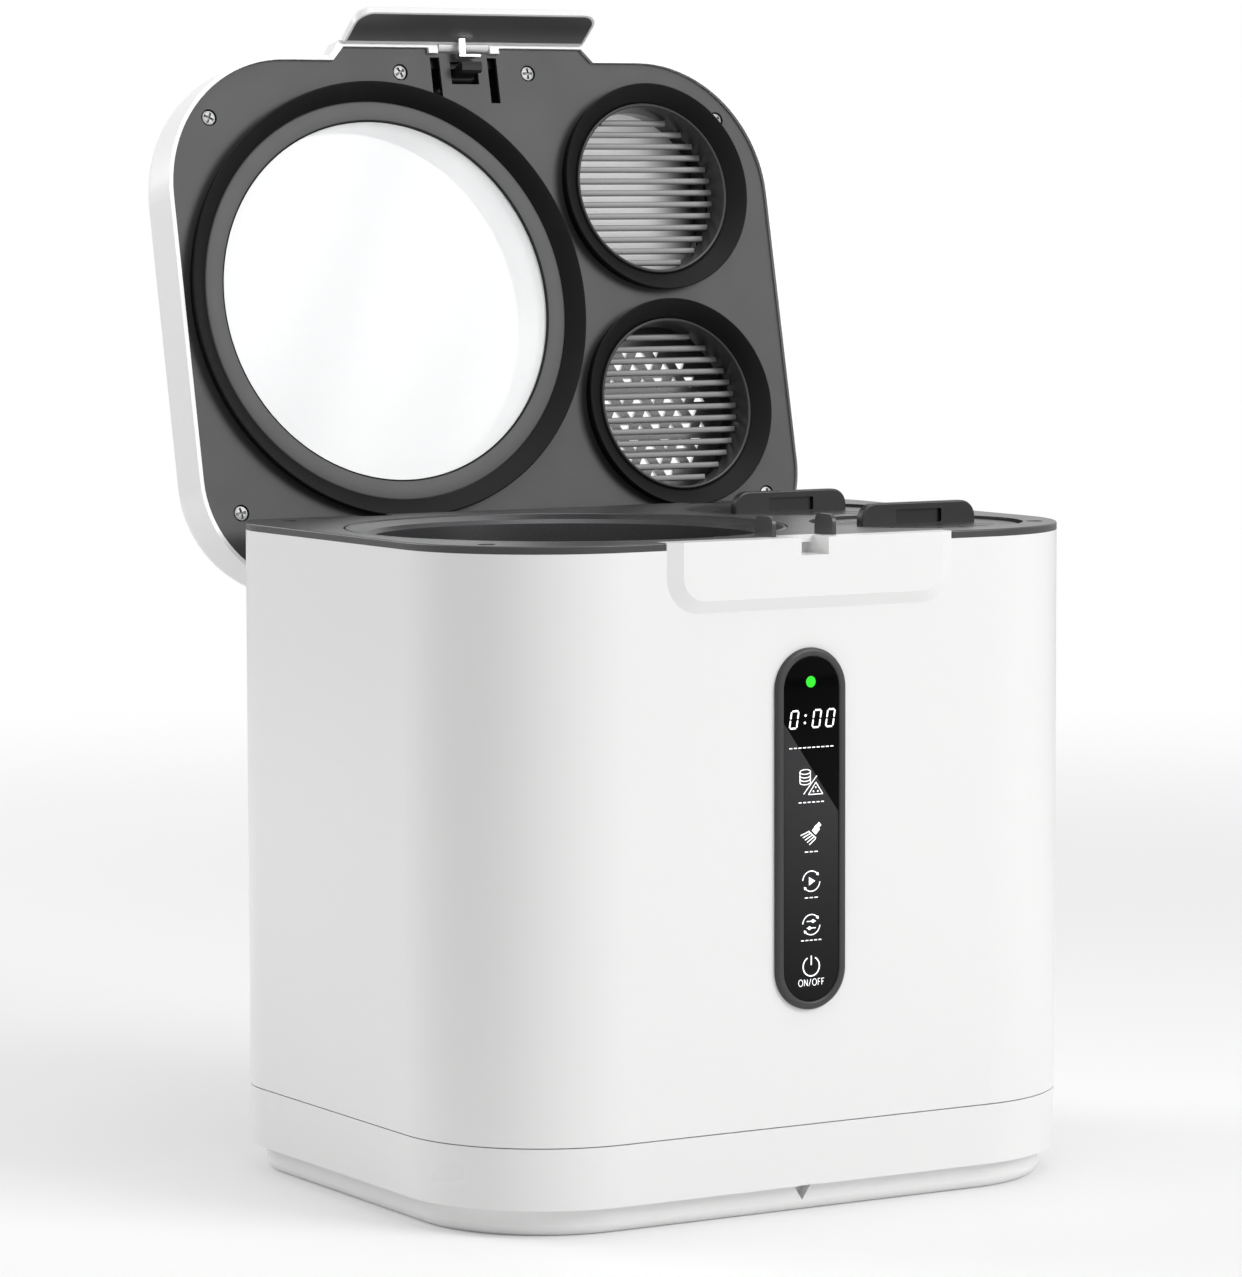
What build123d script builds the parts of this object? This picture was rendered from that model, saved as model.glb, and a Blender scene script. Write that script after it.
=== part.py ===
from build123d import *
import math
import os

os.makedirs("parts", exist_ok=True)

# ---- driving dimensions, mm, +Z up, front faces -Y, z = 0 is the counter ----
BODY_W, BODY_D = 350.0, 269.0          # cabinet outline
R_FRONT, R_REAR = 73.4, 47.3           # its corner radii
DECK_Z = 317.4                         # top of deck and rim
RIM_BAND = 3.65                        # dark rim standing on the shell
SEAM_Z, SEAM_GAP = 42.5, 0.5           # shell above, skirt below
SKIRT_Z, SKIRT_INSET = 13.2, 1.2       # bottom of skirt, its draft
PLINTH_INSET, PLINTH_ROUND = 7.6, 5.0
WALL = 2.6                             # shell wall
DECK_T = 3.0
FIT = 0.3                              # clearance between moulded pieces
RUN = 0.05                             # radial running clearance
PRESS = 0.01                           # between a bore and what is fixed in it

LINER_W, LINER_D = 346.5, 266.1        # underside of lid, seen when open
LINER_RF, LINER_RR = 69.5, 53.8
LINER_REAR = 133.0                     # rear edge when shut
LINER_Z, LINER_T = 319.4, 2.5
RIM_T, RIM_DROP = 2.2, 2.0             # white rim around and proud of the liner
LID_T, LID_ROUND = 32.0, 12.0
BULGE_IN, BULGE_OUT, BULGE_Y = 76.0, 69.5, -140.1
HINGE_Y, HINGE_Z, OPEN_DEG = 120.3, 299.2, 102.17
ARM_X, ARM_W, HINGE_PIN_R = 95.0, 14.0, 3.0
REAR_ARC_R = 17.5                      # rear deck edge clears the turning lid

BUCKET = (-58.9, -9.8)                 # centre of bucket, window and drive
LIP_R, BUCKET_R, BUCKET_WALL = 105.5, 94.4, 1.8
BUCKET_Z0 = 163.0
FILTERS = {"front": (104.0, -67.0), "rear": (104.0, 47.0)}
FILTER_R, FILTER_GROOVE, FILTER_TOP = 50.3, 1.5, 316.0
WELL_Z0, WELL_Z1 = 205.0, 310.0
GRIP_L, GRIP_T, GRIP_H = 66.0, 5.0, 10.9

PAD_W, PAD_Z, PAD_R, PAD_PROUD = 157.0, 284.3, 17.0, 3.3
PAD_FLAT_W, PAD_FLAT_Z = 142.6, 290.1
LEDGE_Y = -126.0
NOTCH_W, NOTCH_Z, NOTCH_Y = 15.0, 309.2, -124.3
PANEL_HW, PANEL_Z0, PANEL_Z1 = 19.2, 96.6, 266.1
GLASS_HW = 15.2
ICON_Z = (202.5, 177.7, 155.2, 134.5, 115.3)
LED_Z, DIGIT_Z = 250.2, 233.0

LEVER_P = (-141.5, 319.9)              # lever pivot, lid shut
LEVER_REST, HOOK_RATIO = 28.0, 0.6
LEVER_HW, LEVER_TOP, LEVER_BOT = 70.0, 316.4, 293.2
LEVER_IN, LEVER_OUT = -139.9, -144.9
HOOK_Q = (-126.0, 325.9)

M1, N_PINION, N_IDLER_BIG = 1.25, 12, 48
M2, N_IDLER_SMALL, N_OUT = 1.5, 14, 50
BACKLASH, PRESSURE = 0.12, 25.0
OUT_XY = BUCKET
IDLER_XY = (BUCKET[0] + M2 * (N_IDLER_SMALL + N_OUT) / 2, BUCKET[1])
MOTOR_XY = (IDLER_XY[0] + M1 * (N_PINION + N_IDLER_BIG) / 2, BUCKET[1])
GEARBOX_Z0, GEARBOX_Z1 = 104.0, 139.5
POT_R, POT_T, POT_Z0, POT_Z1 = 96.4, 1.8, 158.0, 309.6
FAN_XY, FAN_SIDE, FAN_Z0, FAN_Z1 = (104.0, -10.0), 80.0, 160.0, 185.0



def box(x0, x1, y0, y1, z0, z1):
    return Pos((x0 + x1) / 2, (y0 + y1) / 2, (z0 + z1) / 2) * Box(x1 - x0, y1 - y0, z1 - z0)


def cyl(r, z0, z1, c=(0, 0)):
    return Pos(c[0], c[1], (z0 + z1) / 2) * Cylinder(r, z1 - z0)


def tube(r0, r1, z0, z1, c=(0, 0)):
    return cyl(r1, z0, z1, c) - cyl(r0, z0 - 1, z1 + 1, c)


def xcyl(r, x0, x1, y, z):
    return Pos((x0 + x1) / 2, y, z) * Rot(0, 90, 0) * Cylinder(r, x1 - x0)


def ycyl(r, y0, y1, x, z):
    return Pos(x, (y0 + y1) / 2, z) * Rot(90, 0, 0) * Cylinder(r, y1 - y0)


def outline(w, y0, y1, rf, rr):
    """Rounded rectangle in XY with one radius at the front and one at the rear."""
    s = Rectangle(w, y1 - y0)
    s = fillet(s.vertices().sort_by(Axis.Y)[:2], rf)
    s = fillet(s.vertices().sort_by(Axis.Y)[-2:], rr)
    return Pos(0, (y0 + y1) / 2) * s


def body_face(inset=0.0):
    return outline(BODY_W - 2 * inset, -BODY_D / 2 + inset, BODY_D / 2 - inset,
                   R_FRONT - inset, R_REAR - inset)


def lid_face(grow=0.0):
    y1 = LINER_REAR + grow
    return outline(LINER_W + 2 * grow, LINER_REAR - LINER_D - grow, y1,
                   LINER_RF + grow, LINER_RR + grow)


def prism(face, z0, z1):
    return Pos(0, 0, z0) * extrude(face, z1 - z0, dir=(0, 0, 1))


def poly(points):
    return make_face(Polyline(*points, close=True))


def turned(points, c=(0, 0)):
    """Solid of revolution about the vertical through c, from (r, z) points."""
    face = Plane.XZ * poly(points)
    return Pos(c[0], c[1], 0) * revolve(face, Axis.Z)


def stadium_xz(hw, z0, z1, y0, y1):
    """Upright stadium seen from the front, between two y planes."""
    s = Pos(0, (z0 + z1) / 2) * SlotOverall(z1 - z0, 2 * hw, rotation=90)
    return Pos(0, y1, 0) * extrude(Plane.XZ * s, y1 - y0, dir=(0, -1, 0))


def xz_prism(points, y0, y1):
    return Pos(0, y1, 0) * extrude(Plane.XZ * poly(points), y1 - y0, dir=(0, -1, 0))


def yz_prism(points, x0, x1):
    return Pos(x0, 0, 0) * extrude(Plane.YZ * poly(points), x1 - x0, dir=(1, 0, 0))


def hinge_cut(r):
    """What the turning lid sweeps behind the hinge line, outside radius r."""
    zone = box(-180, 180, HINGE_Y, BODY_D / 2 + 5, HINGE_Z, DECK_Z + 5)
    return zone - xcyl(r, -181, 181, HINGE_Y, HINGE_Z)


def rest_lid(shape):
    return Pos(0, HINGE_Y, HINGE_Z) * Rot(-OPEN_DEG, 0, 0) * Pos(0, -HINGE_Y, -HINGE_Z) * shape


def rest_lever(shape):
    y, z = LEVER_P
    return rest_lid(Pos(0, y, z) * Rot(-LEVER_REST, 0, 0) * Pos(0, -y, -z) * shape)


def rest_hook(shape):
    y, z = HOOK_Q
    return rest_lid(Pos(0, y, z) * Rot(-LEVER_REST * HOOK_RATIO, 0, 0) * Pos(0, -y, -z) * shape)


def save(name, *shapes):
    """One file per node; a group of like solids is one node."""
    solids = []
    for s in shapes:
        solids += list(s.solids())
    item = solids[0] if len(solids) == 1 else Compound(children=solids)
    export_step(item, f"parts/{name}.step")


def screw(x, y, z_face, length, r_head=3.5, r_shank=1.5, up=True, cross=True):
    """Cross-recess pan screw; its head's face is at z_face, the shank runs up or down."""
    d = 1 if up else -1
    head = cyl(r_head, min(z_face, z_face + 1.6 * d), max(z_face, z_face + 1.6 * d))
    head = fillet(head.edges().sort_by(Axis.Z)[0 if up else -1], 0.5)
    shank = cyl(r_shank, min(z_face + d, z_face + length * d), max(z_face + d, z_face + length * d))
    s = head + shank
    if cross:
        for a in (0, 90):
            s -= Pos(0, 0, z_face + 0.3 * d) * Rot(0, 0, a + 20) * Box(r_head * 1.2, 0.9, 0.8)
    return Pos(x, y, 0) * s


# ---- base tray: skirt and plinth in one moulding ----
def base_tray():
    s = Pos(0, 0, SKIRT_Z) * extrude(body_face(SKIRT_INSET), SEAM_Z - SEAM_GAP - SKIRT_Z,
                                     taper=-math.degrees(math.atan(SKIRT_INSET / (SEAM_Z - SEAM_GAP - SKIRT_Z))))
    s += prism(body_face(WALL + FIT), SEAM_Z - SEAM_GAP - 1, SEAM_Z + 4)
    plinth = prism(body_face(PLINTH_INSET), 0, SKIRT_Z + 1)
    edge = plinth.faces().sort_by(Axis.Z)[0].edges()
    s += fillet(edge, PLINTH_ROUND)
    s -= prism(body_face(PLINTH_INSET + WALL), 3, 20)
    s -= prism(body_face(WALL + FIT + 1.8), SKIRT_Z + 2.5, 60)
    s += box(-8, 8, -125.0, -118.4, 1.5, SKIRT_Z + 0.5)
    s -= xz_prism([(-5.4, SKIRT_Z + 0.2), (5.4, SKIRT_Z + 0.2), (0, 5.0)], -140, -121.0)
    for x in (-120, -60, 0, 60, 120):
        s += box(x - 1, x + 1, -121, 121, 3, 11)
    for y in (-70, 0, 70):
        s += box(-160, 160, y - 1, y + 1, 3, 11)
    for x, y in BASE_SCREWS:
        s += cyl(6.5, 1, SEAM_Z + 3.5, (x, y))
        s -= cyl(1.8, -1, 60, (x, y)) + cyl(4.2, -1, 12, (x, y))
    for x, y in POSTS:
        s += cyl(4, 2, 46, (x, y)) - cyl(1.5, 30, 47, (x, y))
    for x, y in FEET:
        s += cyl(12, 1, 5, (x, y))
        s -= cyl(9.0, -1, 2.5, (x, y))
    for i in range(7):
        s -= box(62, 106, -33 + 10 * i, -29 + 10 * i, -1, 3.5)
        s -= box(-106, -62, -33 + 10 * i, -29 + 10 * i, -1, 3.5)
    return s


BASE_SCREWS = [(x, y) for x in (-150, 150) for y in (-52, 52)]
POSTS = [(68, -62), (138, -62), (68, 52), (138, 52)]
FEET = [(x, y) for x in (-132, 132) for y in (-88, 88)]
save("base_tray", base_tray())
foot = cyl(9.0, 0, 2.5) - cyl(5.5, -1, 0.7)
save("rubber_feet", *[Pos(x, y, 0) * foot for x, y in FEET])
save("base_screws", *[screw(x, y, 10.2, 48, up=True) for x, y in BASE_SCREWS])


# ---- outer shell ----
def outer_shell():
    s = prism(body_face(0), SEAM_Z, DECK_Z - RIM_BAND) - prism(body_face(WALL), SEAM_Z - 1, DECK_Z)
    s -= box(-73, 73, -140, -118, PAD_Z + 5.8, DECK_Z + 1)
    s -= stadium_xz(PANEL_HW - 2.7, PANEL_Z0 + 2.3, PANEL_Z1 - 2.3, -140, -125)
    for sx in (-1, 1):
        s -= box(sx * ARM_X - ARM_W / 2 - 1.6, sx * ARM_X + ARM_W / 2 + 1.6, 125, 140, 286.5, DECK_Z)
    s -= hinge_cut(REAR_ARC_R - DECK_T - 0.1)
    s -= box(INLET[0] - 14.2, INLET[0] + 14.2, 128, 140, INLET[1] - 10.7, INLET[1] + 10.7)
    for i in range(9):
        z = 66 + 9 * i
        s -= Pos(-80, 133, z) * Rot(90, 0, 0) * extrude(SlotOverall(96, 3.6), 8, both=True)
    for x, y in BASE_SCREWS:
        sx = 1 if x > 0 else -1
        post = cyl(6.0, SEAM_Z + 4.2, 86, (x, y))
        post += box(min(x, sx * 173), max(x, sx * 173), y - 1.2, y + 1.2, SEAM_Z + 4.6, 86)
        s += post - cyl(1.5, 0, 75, (x, y))
    for x, y in DECK_SCREWS:
        post = cyl(5.0, 276, 299.8, (x, y))
        a = math.atan2(y, x)
        post += Pos(x, y, 286) * Rot(0, 0, math.degrees(a)) * Pos(9, 0, 0) * Box(24, 2.0, 20)
        s += (post & prism(body_face(0.8), 200, 314)) - cyl(1.55, 270, 320, (x, y))
    return s


INLET = (118.0, 82.0)
DECK_SCREWS = [(-152, -98), (152, -98), (-150, 101), (150, 101)]
save("outer_shell", outer_shell())


# ---- deck with its rim, seats and locating tabs ----
def deck_frame():
    top = prism(body_face(0), DECK_Z - RIM_BAND, DECK_Z)
    top -= prism(body_face(WALL + FIT), DECK_Z - RIM_BAND - 1, DECK_Z - DECK_T)
    s = top + (prism(body_face(WALL + FIT), 300, DECK_Z - 1) -
               prism(body_face(WALL + FIT + 2.2), 299, DECK_Z - DECK_T))
    s = fillet(s.faces().sort_by(Axis.Z)[-1].edges(), 0.8)
    lip = xcyl(REAR_ARC_R + 1, -174, 174, HINGE_Y, HINGE_Z) - xcyl(REAR_ARC_R - DECK_T, -175, 175, HINGE_Y, HINGE_Z)
    s += lip & prism(body_face(0), HINGE_Z, DECK_Z) & box(-174, 174, HINGE_Y, 140, HINGE_Z + 0.5, 320)
    s -= hinge_cut(REAR_ARC_R)
    for sx in (-1, 1):
        s -= box(sx * ARM_X - ARM_W / 2 - 1.6, sx * ARM_X + ARM_W / 2 + 1.6, 111.5, 140, 280, 320)
    s += cyl(LIP_R + 3.1, 306, DECK_Z - 1, BUCKET)
    s -= cyl(LIP_R + 0.6, LEDGE_TOP, 320, BUCKET)
    s -= cyl(99.0, 300, 320, BUCKET)
    s -= cyl(LIP_R + 0.6, 305, LEDGE_TOP - 3.0, BUCKET)
    for c in FILTERS.values():
        s += cyl(FILTER_R + FILTER_GROOVE + 2.2, WELL_Z1, DECK_Z - 1, c)
        s -= cyl(FILTER_R + FILTER_GROOVE, WELL_Z1 + 2.5, 320, c)
        s -= cyl(47.0, 300, 320, c)
    s -= box(-PAD_W / 2 - 0.4, PAD_W / 2 + 0.4, -140, LEDGE_Y + 0.4, 290, 320)
    s -= box(-12.4, 12.4, -140, -117.8, 290, 320)
    for sx in (-1, 1):
        tab = box(-1, 1, -128.5, -113, DECK_Z - 1.5, DECK_Z + 9.5) - box(-2, 2, -130, LEDGE_Y + 0.4, 300, DECK_Z + 0.05)
        tab = fillet(tab.edges().filter_by(Axis.X).sort_by(Axis.Z)[-2:], 4.0)
        s += Pos(sx * 16.6, 0, 0) * tab
    for x, y in DECK_SCREWS:
        s += cyl(5.0, 300, DECK_Z - 1, (x, y))
        s -= cyl(1.8, 290, 320, (x, y)) + cyl(4.2, DECK_Z - 1.9, 320, (x, y))
    for x0, x1, y in ((-150, -119, 113), (119, 150, 113), (-60, 60, 116)):
        s += box(x0, x1, y - 1, y + 1, 306, DECK_Z - 1)
    return s


LEDGE_TOP = 312.6
save("deck_frame", deck_frame())
save("deck_screws", *[screw(x, y, DECK_Z - 0.2, 40, up=False) for x, y in DECK_SCREWS])


# ---- latch block on the front, with the bridge that holds the hook ----
def pad_outline(w, z0, r):
    s = Pos(0, (z0 + DECK_Z) / 2) * Rectangle(w, DECK_Z - z0)
    return fillet(s.vertices().sort_by(Axis.Y)[:2], r)


def latch_block():
    face_y = -BODY_D / 2
    back = Plane.XZ.offset(-face_y) * pad_outline(PAD_W, PAD_Z, PAD_R)
    front = Plane.XZ.offset(-face_y + PAD_PROUD) * pad_outline(PAD_FLAT_W, PAD_FLAT_Z, PAD_R - 5.5)
    s = loft([back, front], ruled=True)
    s = Solid(s.solids()[0].wrapped)
    inner = box(-72.6, 72.6, face_y - 0.01, LEDGE_Y, PAD_Z + 6.2, DECK_Z)
    inner -= box(-70.6, 70.6, face_y + 2.8, LEDGE_Y + 1, PAD_Z + 5.4, DECK_Z - 3)
    s = s + inner + box(-PAD_W / 2, PAD_W / 2, face_y - 0.01, LEDGE_Y, DECK_Z - RIM_BAND + 0.1, DECK_Z)
    for x in (-48, -24, 24, 48):
        s += box(x - 1, x + 1, face_y, LEDGE_Y, PAD_Z + 6.4, DECK_Z - 2)
    s += box(-12, 12, face_y, -118.2, 302, DECK_Z)
    s -= box(-NOTCH_W / 2, NOTCH_W / 2, -140, NOTCH_Y, NOTCH_Z, 320)
    s -= box(-6.8, 6.8, -126, -120.2, NOTCH_Z, 314.3)
    return s


save("latch_block", latch_block())


# ---- control panel ----
def panel_bezel():
    f = -BODY_D / 2
    s = stadium_xz(PANEL_HW, PANEL_Z0, PANEL_Z1, f - 1.0, f)
    s = fillet(s.faces().sort_by(Axis.Y)[0].edges(), 0.7)
    s += stadium_xz(PANEL_HW - 2.9, PANEL_Z0 + 2.9, PANEL_Z1 - 2.9, f - 0.5, f + 9)
    s -= stadium_xz(GLASS_HW + 0.1, PANEL_Z0 + 3.9, PANEL_Z1 - 3.9, f - 2, f + 1.7)
    s -= stadium_xz(GLASS_HW - 1.8, PANEL_Z0 + 5.8, PANEL_Z1 - 5.8, f - 2, f + 4)
    s -= stadium_xz(GLASS_HW + 0.1, PANEL_Z0 + 3.9, PANEL_Z1 - 3.9, f + 3.3, f + 10)
    return s


save("panel_bezel", panel_bezel())
F = -BODY_D / 2
save("panel_glass", stadium_xz(GLASS_HW, PANEL_Z0 + 4.0, PANEL_Z1 - 4.0, F - 0.3, F + 1.7))
board = stadium_xz(GLASS_HW, PANEL_Z0 + 4.0, PANEL_Z1 - 4.0, F + 6.4, F + 8.0)
for z in (140, 168, 192):
    board += box(-9, -4, F + 8, F + 10.5, z - 4, z + 4) + box(3, 8, F + 8, F + 9.6, z - 2, z + 2)
save("display_board", board)
display = box(-13, 13, F + 2.4, F + 6.4, DIGIT_Z - 9, DIGIT_Z + 9)
for i in range(4):
    display -= box(-11.4 + 6 * i, -6.9 + 6 * i, F + 2, F + 2.9, DIGIT_Z - 6.5, DIGIT_Z + 6.5)
save("display_module", display)
save("led_lens", ycyl(2.7, F + 2.0, F + 6.4, 0, LED_Z))
save("touch_pads", *[ycyl(6.0, F + 1.8, F + 3.0, 0, z) + ycyl(1.5, F + 2.9, F + 6.4, 0, z) for z in ICON_Z])


# ---- heated pot and what is on it ----
def heater_pot():
    r = POT_R
    s = turned([(16.5, POT_Z0), (r - 8, POT_Z0), (r, POT_Z0 + 8), (r + POT_T, POT_Z0 + 10),
                (r + POT_T, POT_Z1 - 2), (105.4, POT_Z1 - 2), (105.4, POT_Z1), (r, POT_Z1),
                (r, POT_Z0 + 11), (r - 9, POT_Z0 + 2), (16.5, POT_Z0 + 2)], BUCKET)
    return s


save("heater_pot", heater_pot())
band = tube(POT_R + POT_T + 0.05, POT_R + POT_T + 3.6, 180, 224, BUCKET)
band -= Pos(BUCKET[0], BUCKET[1], 202) * Rot(0, 0, 215) * Pos(100, 0, 0) * Box(12, 5, 60)
for a in (-5, 5):
    ear = Pos(104.5, 0, 202) * Box(9, 2, 40) - Pos(105.5, 0, 190) * Rot(90, 0, 0) * Cylinder(1.6, 8)
    ear -= Pos(105.5, 0, 214) * Rot(90, 0, 0) * Cylinder(1.6, 8)
    band += Pos(BUCKET[0], BUCKET[1], 0) * Rot(0, 0, 215 + a * 0.42) * ear
for z in (188, 216):
    band += tube(POT_R + POT_T + 3.4, POT_R + POT_T + 4.2, z - 1.5, z + 1.5, BUCKET) - (
        Pos(BUCKET[0], BUCKET[1], 202) * Rot(0, 0, 215) * Pos(100, 0, 0) * Box(16, 9, 60))
save("heater_band", band)


# ---- bucket, bush, bail ----
def bucket():
    rb, rt, w = BUCKET_R - 2.4, BUCKET_R, BUCKET_WALL
    z0 = BUCKET_Z0
    pts = [(8, z0), (rb - 7, z0), (rb - 2, z0 + 2), (rb, z0 + 7), (rt, 308), (rt, LEDGE_TOP),
           (LIP_R - 0.4, LEDGE_TOP), (LIP_R, LEDGE_TOP + 0.6), (LIP_R, DECK_Z - 0.5),
           (LIP_R - 0.5, DECK_Z), (LIP_R - 1.6, DECK_Z), (LIP_R - 2.2, DECK_Z - 0.5),
           (96.5, 315.3), (95.0, 315.0), (rt - w, 313.0), (rb - w, z0 + 8), (rb - w - 2, z0 + 3.6),
           (rb - w - 7, z0 + 2), (18, z0 + 2), (14, z0 + 4), (13, z0 + 19), (8, z0 + 19)]
    s = turned(pts)
    for sx in (-1, 1):
        ear = xz_prism([(sx * 86.5, 294), (sx * 86.5, 309), (sx * 93.4, 309), (sx * 93.4, 290)], -6.5, 6.5)
        s += ear & cyl(93.6, 280, 312)
        s -= xcyl(2.0 + RUN, min(sx * 85, sx * 92.2), max(sx * 85, sx * 92.2), 0, BAIL_Z)
    return Pos(BUCKET[0], BUCKET[1], 0) * s


BAIL_Z, BAIL_R = 302.0, 84.0
save("bucket", bucket())
arc = revolve(Plane.XZ * Pos(BAIL_R, 0) * Circle(2.4), Axis.Z, 180)
arc = Rot(0, 0, 180) * arc
for sx in (-1, 1):
    arc += xcyl(2.4, min(sx * 81.8, sx * 86.2), max(sx * 81.8, sx * 86.2), 0, 0)
    arc += xcyl(2.0, min(sx * 84, sx * 91.9), max(sx * 84, sx * 91.9), 0, 0)
save("bail_handle", Pos(BUCKET[0], BUCKET[1], BAIL_Z) * arc)
grip = revolve(Plane.XZ * Pos(BAIL_R, 0) * (Circle(4.6) - Circle(2.42)), Axis.Z, 56)
save("bail_grip", Pos(BUCKET[0], BUCKET[1], BAIL_Z) * Rot(0, 0, 242) * grip)
save("bucket_bush", tube(5.5 + RUN, 8.0, BUCKET_Z0, BUCKET_Z0 + 19, BUCKET))


# ---- stirring rotor and dog clutch ----
def sector(r0, r1, a0, a1, z0, z1):
    n = 8
    pts = [(r1 * math.cos(math.radians(a0 + (a1 - a0) * i / n)),
            r1 * math.sin(math.radians(a0 + (a1 - a0) * i / n))) for i in range(n + 1)]
    pts += [(r0 * math.cos(math.radians(a1 - (a1 - a0) * i / n)),
             r0 * math.sin(math.radians(a1 - (a1 - a0) * i / n))) for i in range(n + 1)]
    return prism(poly(pts), z0, z1)


def blade(angle, z, length, pitch, sweep):
    """Backswept paddle: tapered planform, pitched about its own arm."""
    n = 10
    lead = [(9 + (length - 9) * t / n, 9 - 2.5 * t / n - sweep * (t / n) ** 2) for t in range(n + 1)]
    trail = [(9 + (length - 9) * t / n, -9 + 3.5 * t / n - sweep * (t / n) ** 2) for t in range(n, -1, -1)]
    s = Pos(0, 0, -2.2) * extrude(poly(lead + trail), 4.4, dir=(0, 0, 1))
    return Rot(0, 0, angle) * Pos(0, 0, z) * Rot(pitch, 0, 0) * s


def rotor():
    s = cyl(5.5, 158, 190)
    s += turned([(0, 184), (12.5, 184), (13.5, 185), (12.5, 212), (9, 220), (4, 224), (0, 225)])
    for k in range(2):
        s += blade(180 * k, 193, 86, 24, 14)
        s += blade(180 * k + 90, 208, 72, 24, 12)
    for k in range(3):
        s += sector(5.9, 13.6, 120 * k + 2, 120 * k + 58, 153, 159.4)
    s += cyl(13.6, 159, 162.4)
    s -= cyl(6.6, 150, 158.9)
    return Pos(BUCKET[0], BUCKET[1], 0) * s


save("rotor", rotor())
dog = cyl(13.6, 148.6, 152.6)
for k in range(3):
    dog += sector(7.2, 13.6, 120 * k + 62, 120 * k + 118, 152, 158.4)
save("drive_dog", Pos(BUCKET[0], BUCKET[1], 0) * (dog - cyl(6.0, 148, 160)))
save("output_shaft", cyl(6.0, GEARBOX_Z0 + 1.5, 152.6, OUT_XY))


# ---- gear train ----
def involute_gear(m, n, z0, z1, phase=0.0, bore=0.0):
    """Spur gear with true involute flanks, its first tooth centred on phase degrees."""
    pa = math.radians(PRESSURE)
    rp, rb = m * n / 2, m * n / 2 * math.cos(pa)
    ra, rf = rp + 0.95 * m, rp - 1.2 * m
    inv = lambda a: math.tan(a) - a
    half = math.pi / (2 * n) - BACKLASH / (2 * rp) + inv(pa)

    def flank(r):
        if r <= rb:
            return half
        return half - inv(math.acos(rb / r))

    start = max(rf, rb)
    rs = [rf] if rf < rb else []
    rs += [start + (ra - start) * t / 5 for t in range(6)]
    pts = []
    for k in range(n):
        c = math.radians(phase) + 2 * math.pi * k / n
        pts += [(r * math.cos(c - flank(r)), r * math.sin(c - flank(r))) for r in rs]
        pts += [(r * math.cos(c + flank(r)), r * math.sin(c + flank(r))) for r in reversed(rs)]
    g = prism(poly(pts), z0, z1)
    return g - cyl(bore, z0 - 1, z1 + 1) if bore else g


out_gear = involute_gear(M2, N_OUT, 122, 132, 0, 6.0 + PRESS) + tube(6.0 + PRESS, 12, 118, 133)
for k in range(6):
    out_gear -= Rot(0, 0, 60 * k + 30) * cyl(7.0, 121, 134, (22.5, 0))
save("output_gear", Pos(OUT_XY[0], OUT_XY[1], 0) * out_gear)
idler = involute_gear(M1, N_IDLER_BIG, 111, 119, 0)
idler += involute_gear(M2, N_IDLER_SMALL, 118.5, 133, 180 + 180 / N_IDLER_SMALL)
for k in range(5):
    idler -= Rot(0, 0, 72 * k) * cyl(4.5, 110, 119.5, (20.5, 0))
save("idler_gear", Pos(IDLER_XY[0], IDLER_XY[1], 0) * (idler - cyl(3.0 + RUN, 100, 140)))
pinion = involute_gear(M1, N_PINION, 109.5, 120.5, 180 + 180 / N_PINION) + cyl(2.5, 94, 110)
save("motor_pinion", Pos(MOTOR_XY[0], MOTOR_XY[1], 0) * pinion)


def gearbox_outline(extra):
    """Circles round the three gears joined by their common tangents."""
    cs = [(OUT_XY, 40.5), (IDLER_XY, 33.0), (MOTOR_XY, 20.0)]
    s = None
    for (c0, r0), (c1, r1) in zip(cs, cs[1:]):
        r0, r1 = r0 + extra, r1 + extra
        d = c1[0] - c0[0]
        a = math.acos((r0 - r1) / d)
        quad = [(c0[0] + r0 * math.cos(a), c0[1] + r0 * math.sin(a)),
                (c1[0] + r1 * math.cos(a), c1[1] + r1 * math.sin(a)),
                (c1[0] + r1 * math.cos(a), c1[1] - r1 * math.sin(a)),
                (c0[0] + r0 * math.cos(a), c0[1] - r0 * math.sin(a))]
        for f in (poly(quad), Pos(*c0) * Circle(r0), Pos(*c1) * Circle(r1)):
            s = f if s is None else s + f
    return s


GB_SCREWS = [(-108, -9.8), (-70, 35.5), (-70, -55.1), (44, 13), (44, -32.6)]
base = prism(gearbox_outline(4), GEARBOX_Z0, GEARBOX_Z0 + 3)
base += cyl(11, GEARBOX_Z0, GEARBOX_Z0 + 13, OUT_XY) + cyl(7, GEARBOX_Z0, GEARBOX_Z0 + 6, IDLER_XY)
base -= cyl(6.0 + RUN, GEARBOX_Z0 + 1.5, 140, OUT_XY) + cyl(3.02, GEARBOX_Z0 + 1, 140, IDLER_XY)
base -= cyl(9.0, 100, 110, MOTOR_XY)
save("gearbox_base", base)
cover = prism(gearbox_outline(4), GEARBOX_Z0 + 3, GEARBOX_Z1)
cover -= prism(gearbox_outline(1.4), GEARBOX_Z0 + 2, GEARBOX_Z1 - 3)
cover += cyl(14, GEARBOX_Z1 - 4.5, GEARBOX_Z1 + 4, OUT_XY) + cyl(7, GEARBOX_Z1 - 5.5, GEARBOX_Z1, IDLER_XY)
for a in range(0, 360, 45):
    rib = Pos(OUT_XY[0], OUT_XY[1], 0) * Rot(0, 0, a) * box(12, 36, -0.9, 0.9, GEARBOX_Z1 - 0.5, GEARBOX_Z1 + 2)
    cover += rib
for a in (68, 180, 292):
    cover += Pos(BUCKET[0], BUCKET[1], 0) * Rot(0, 0, a) * cyl(4.5, GEARBOX_Z1 - 1, POT_Z0, (37.5, 0))
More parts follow.
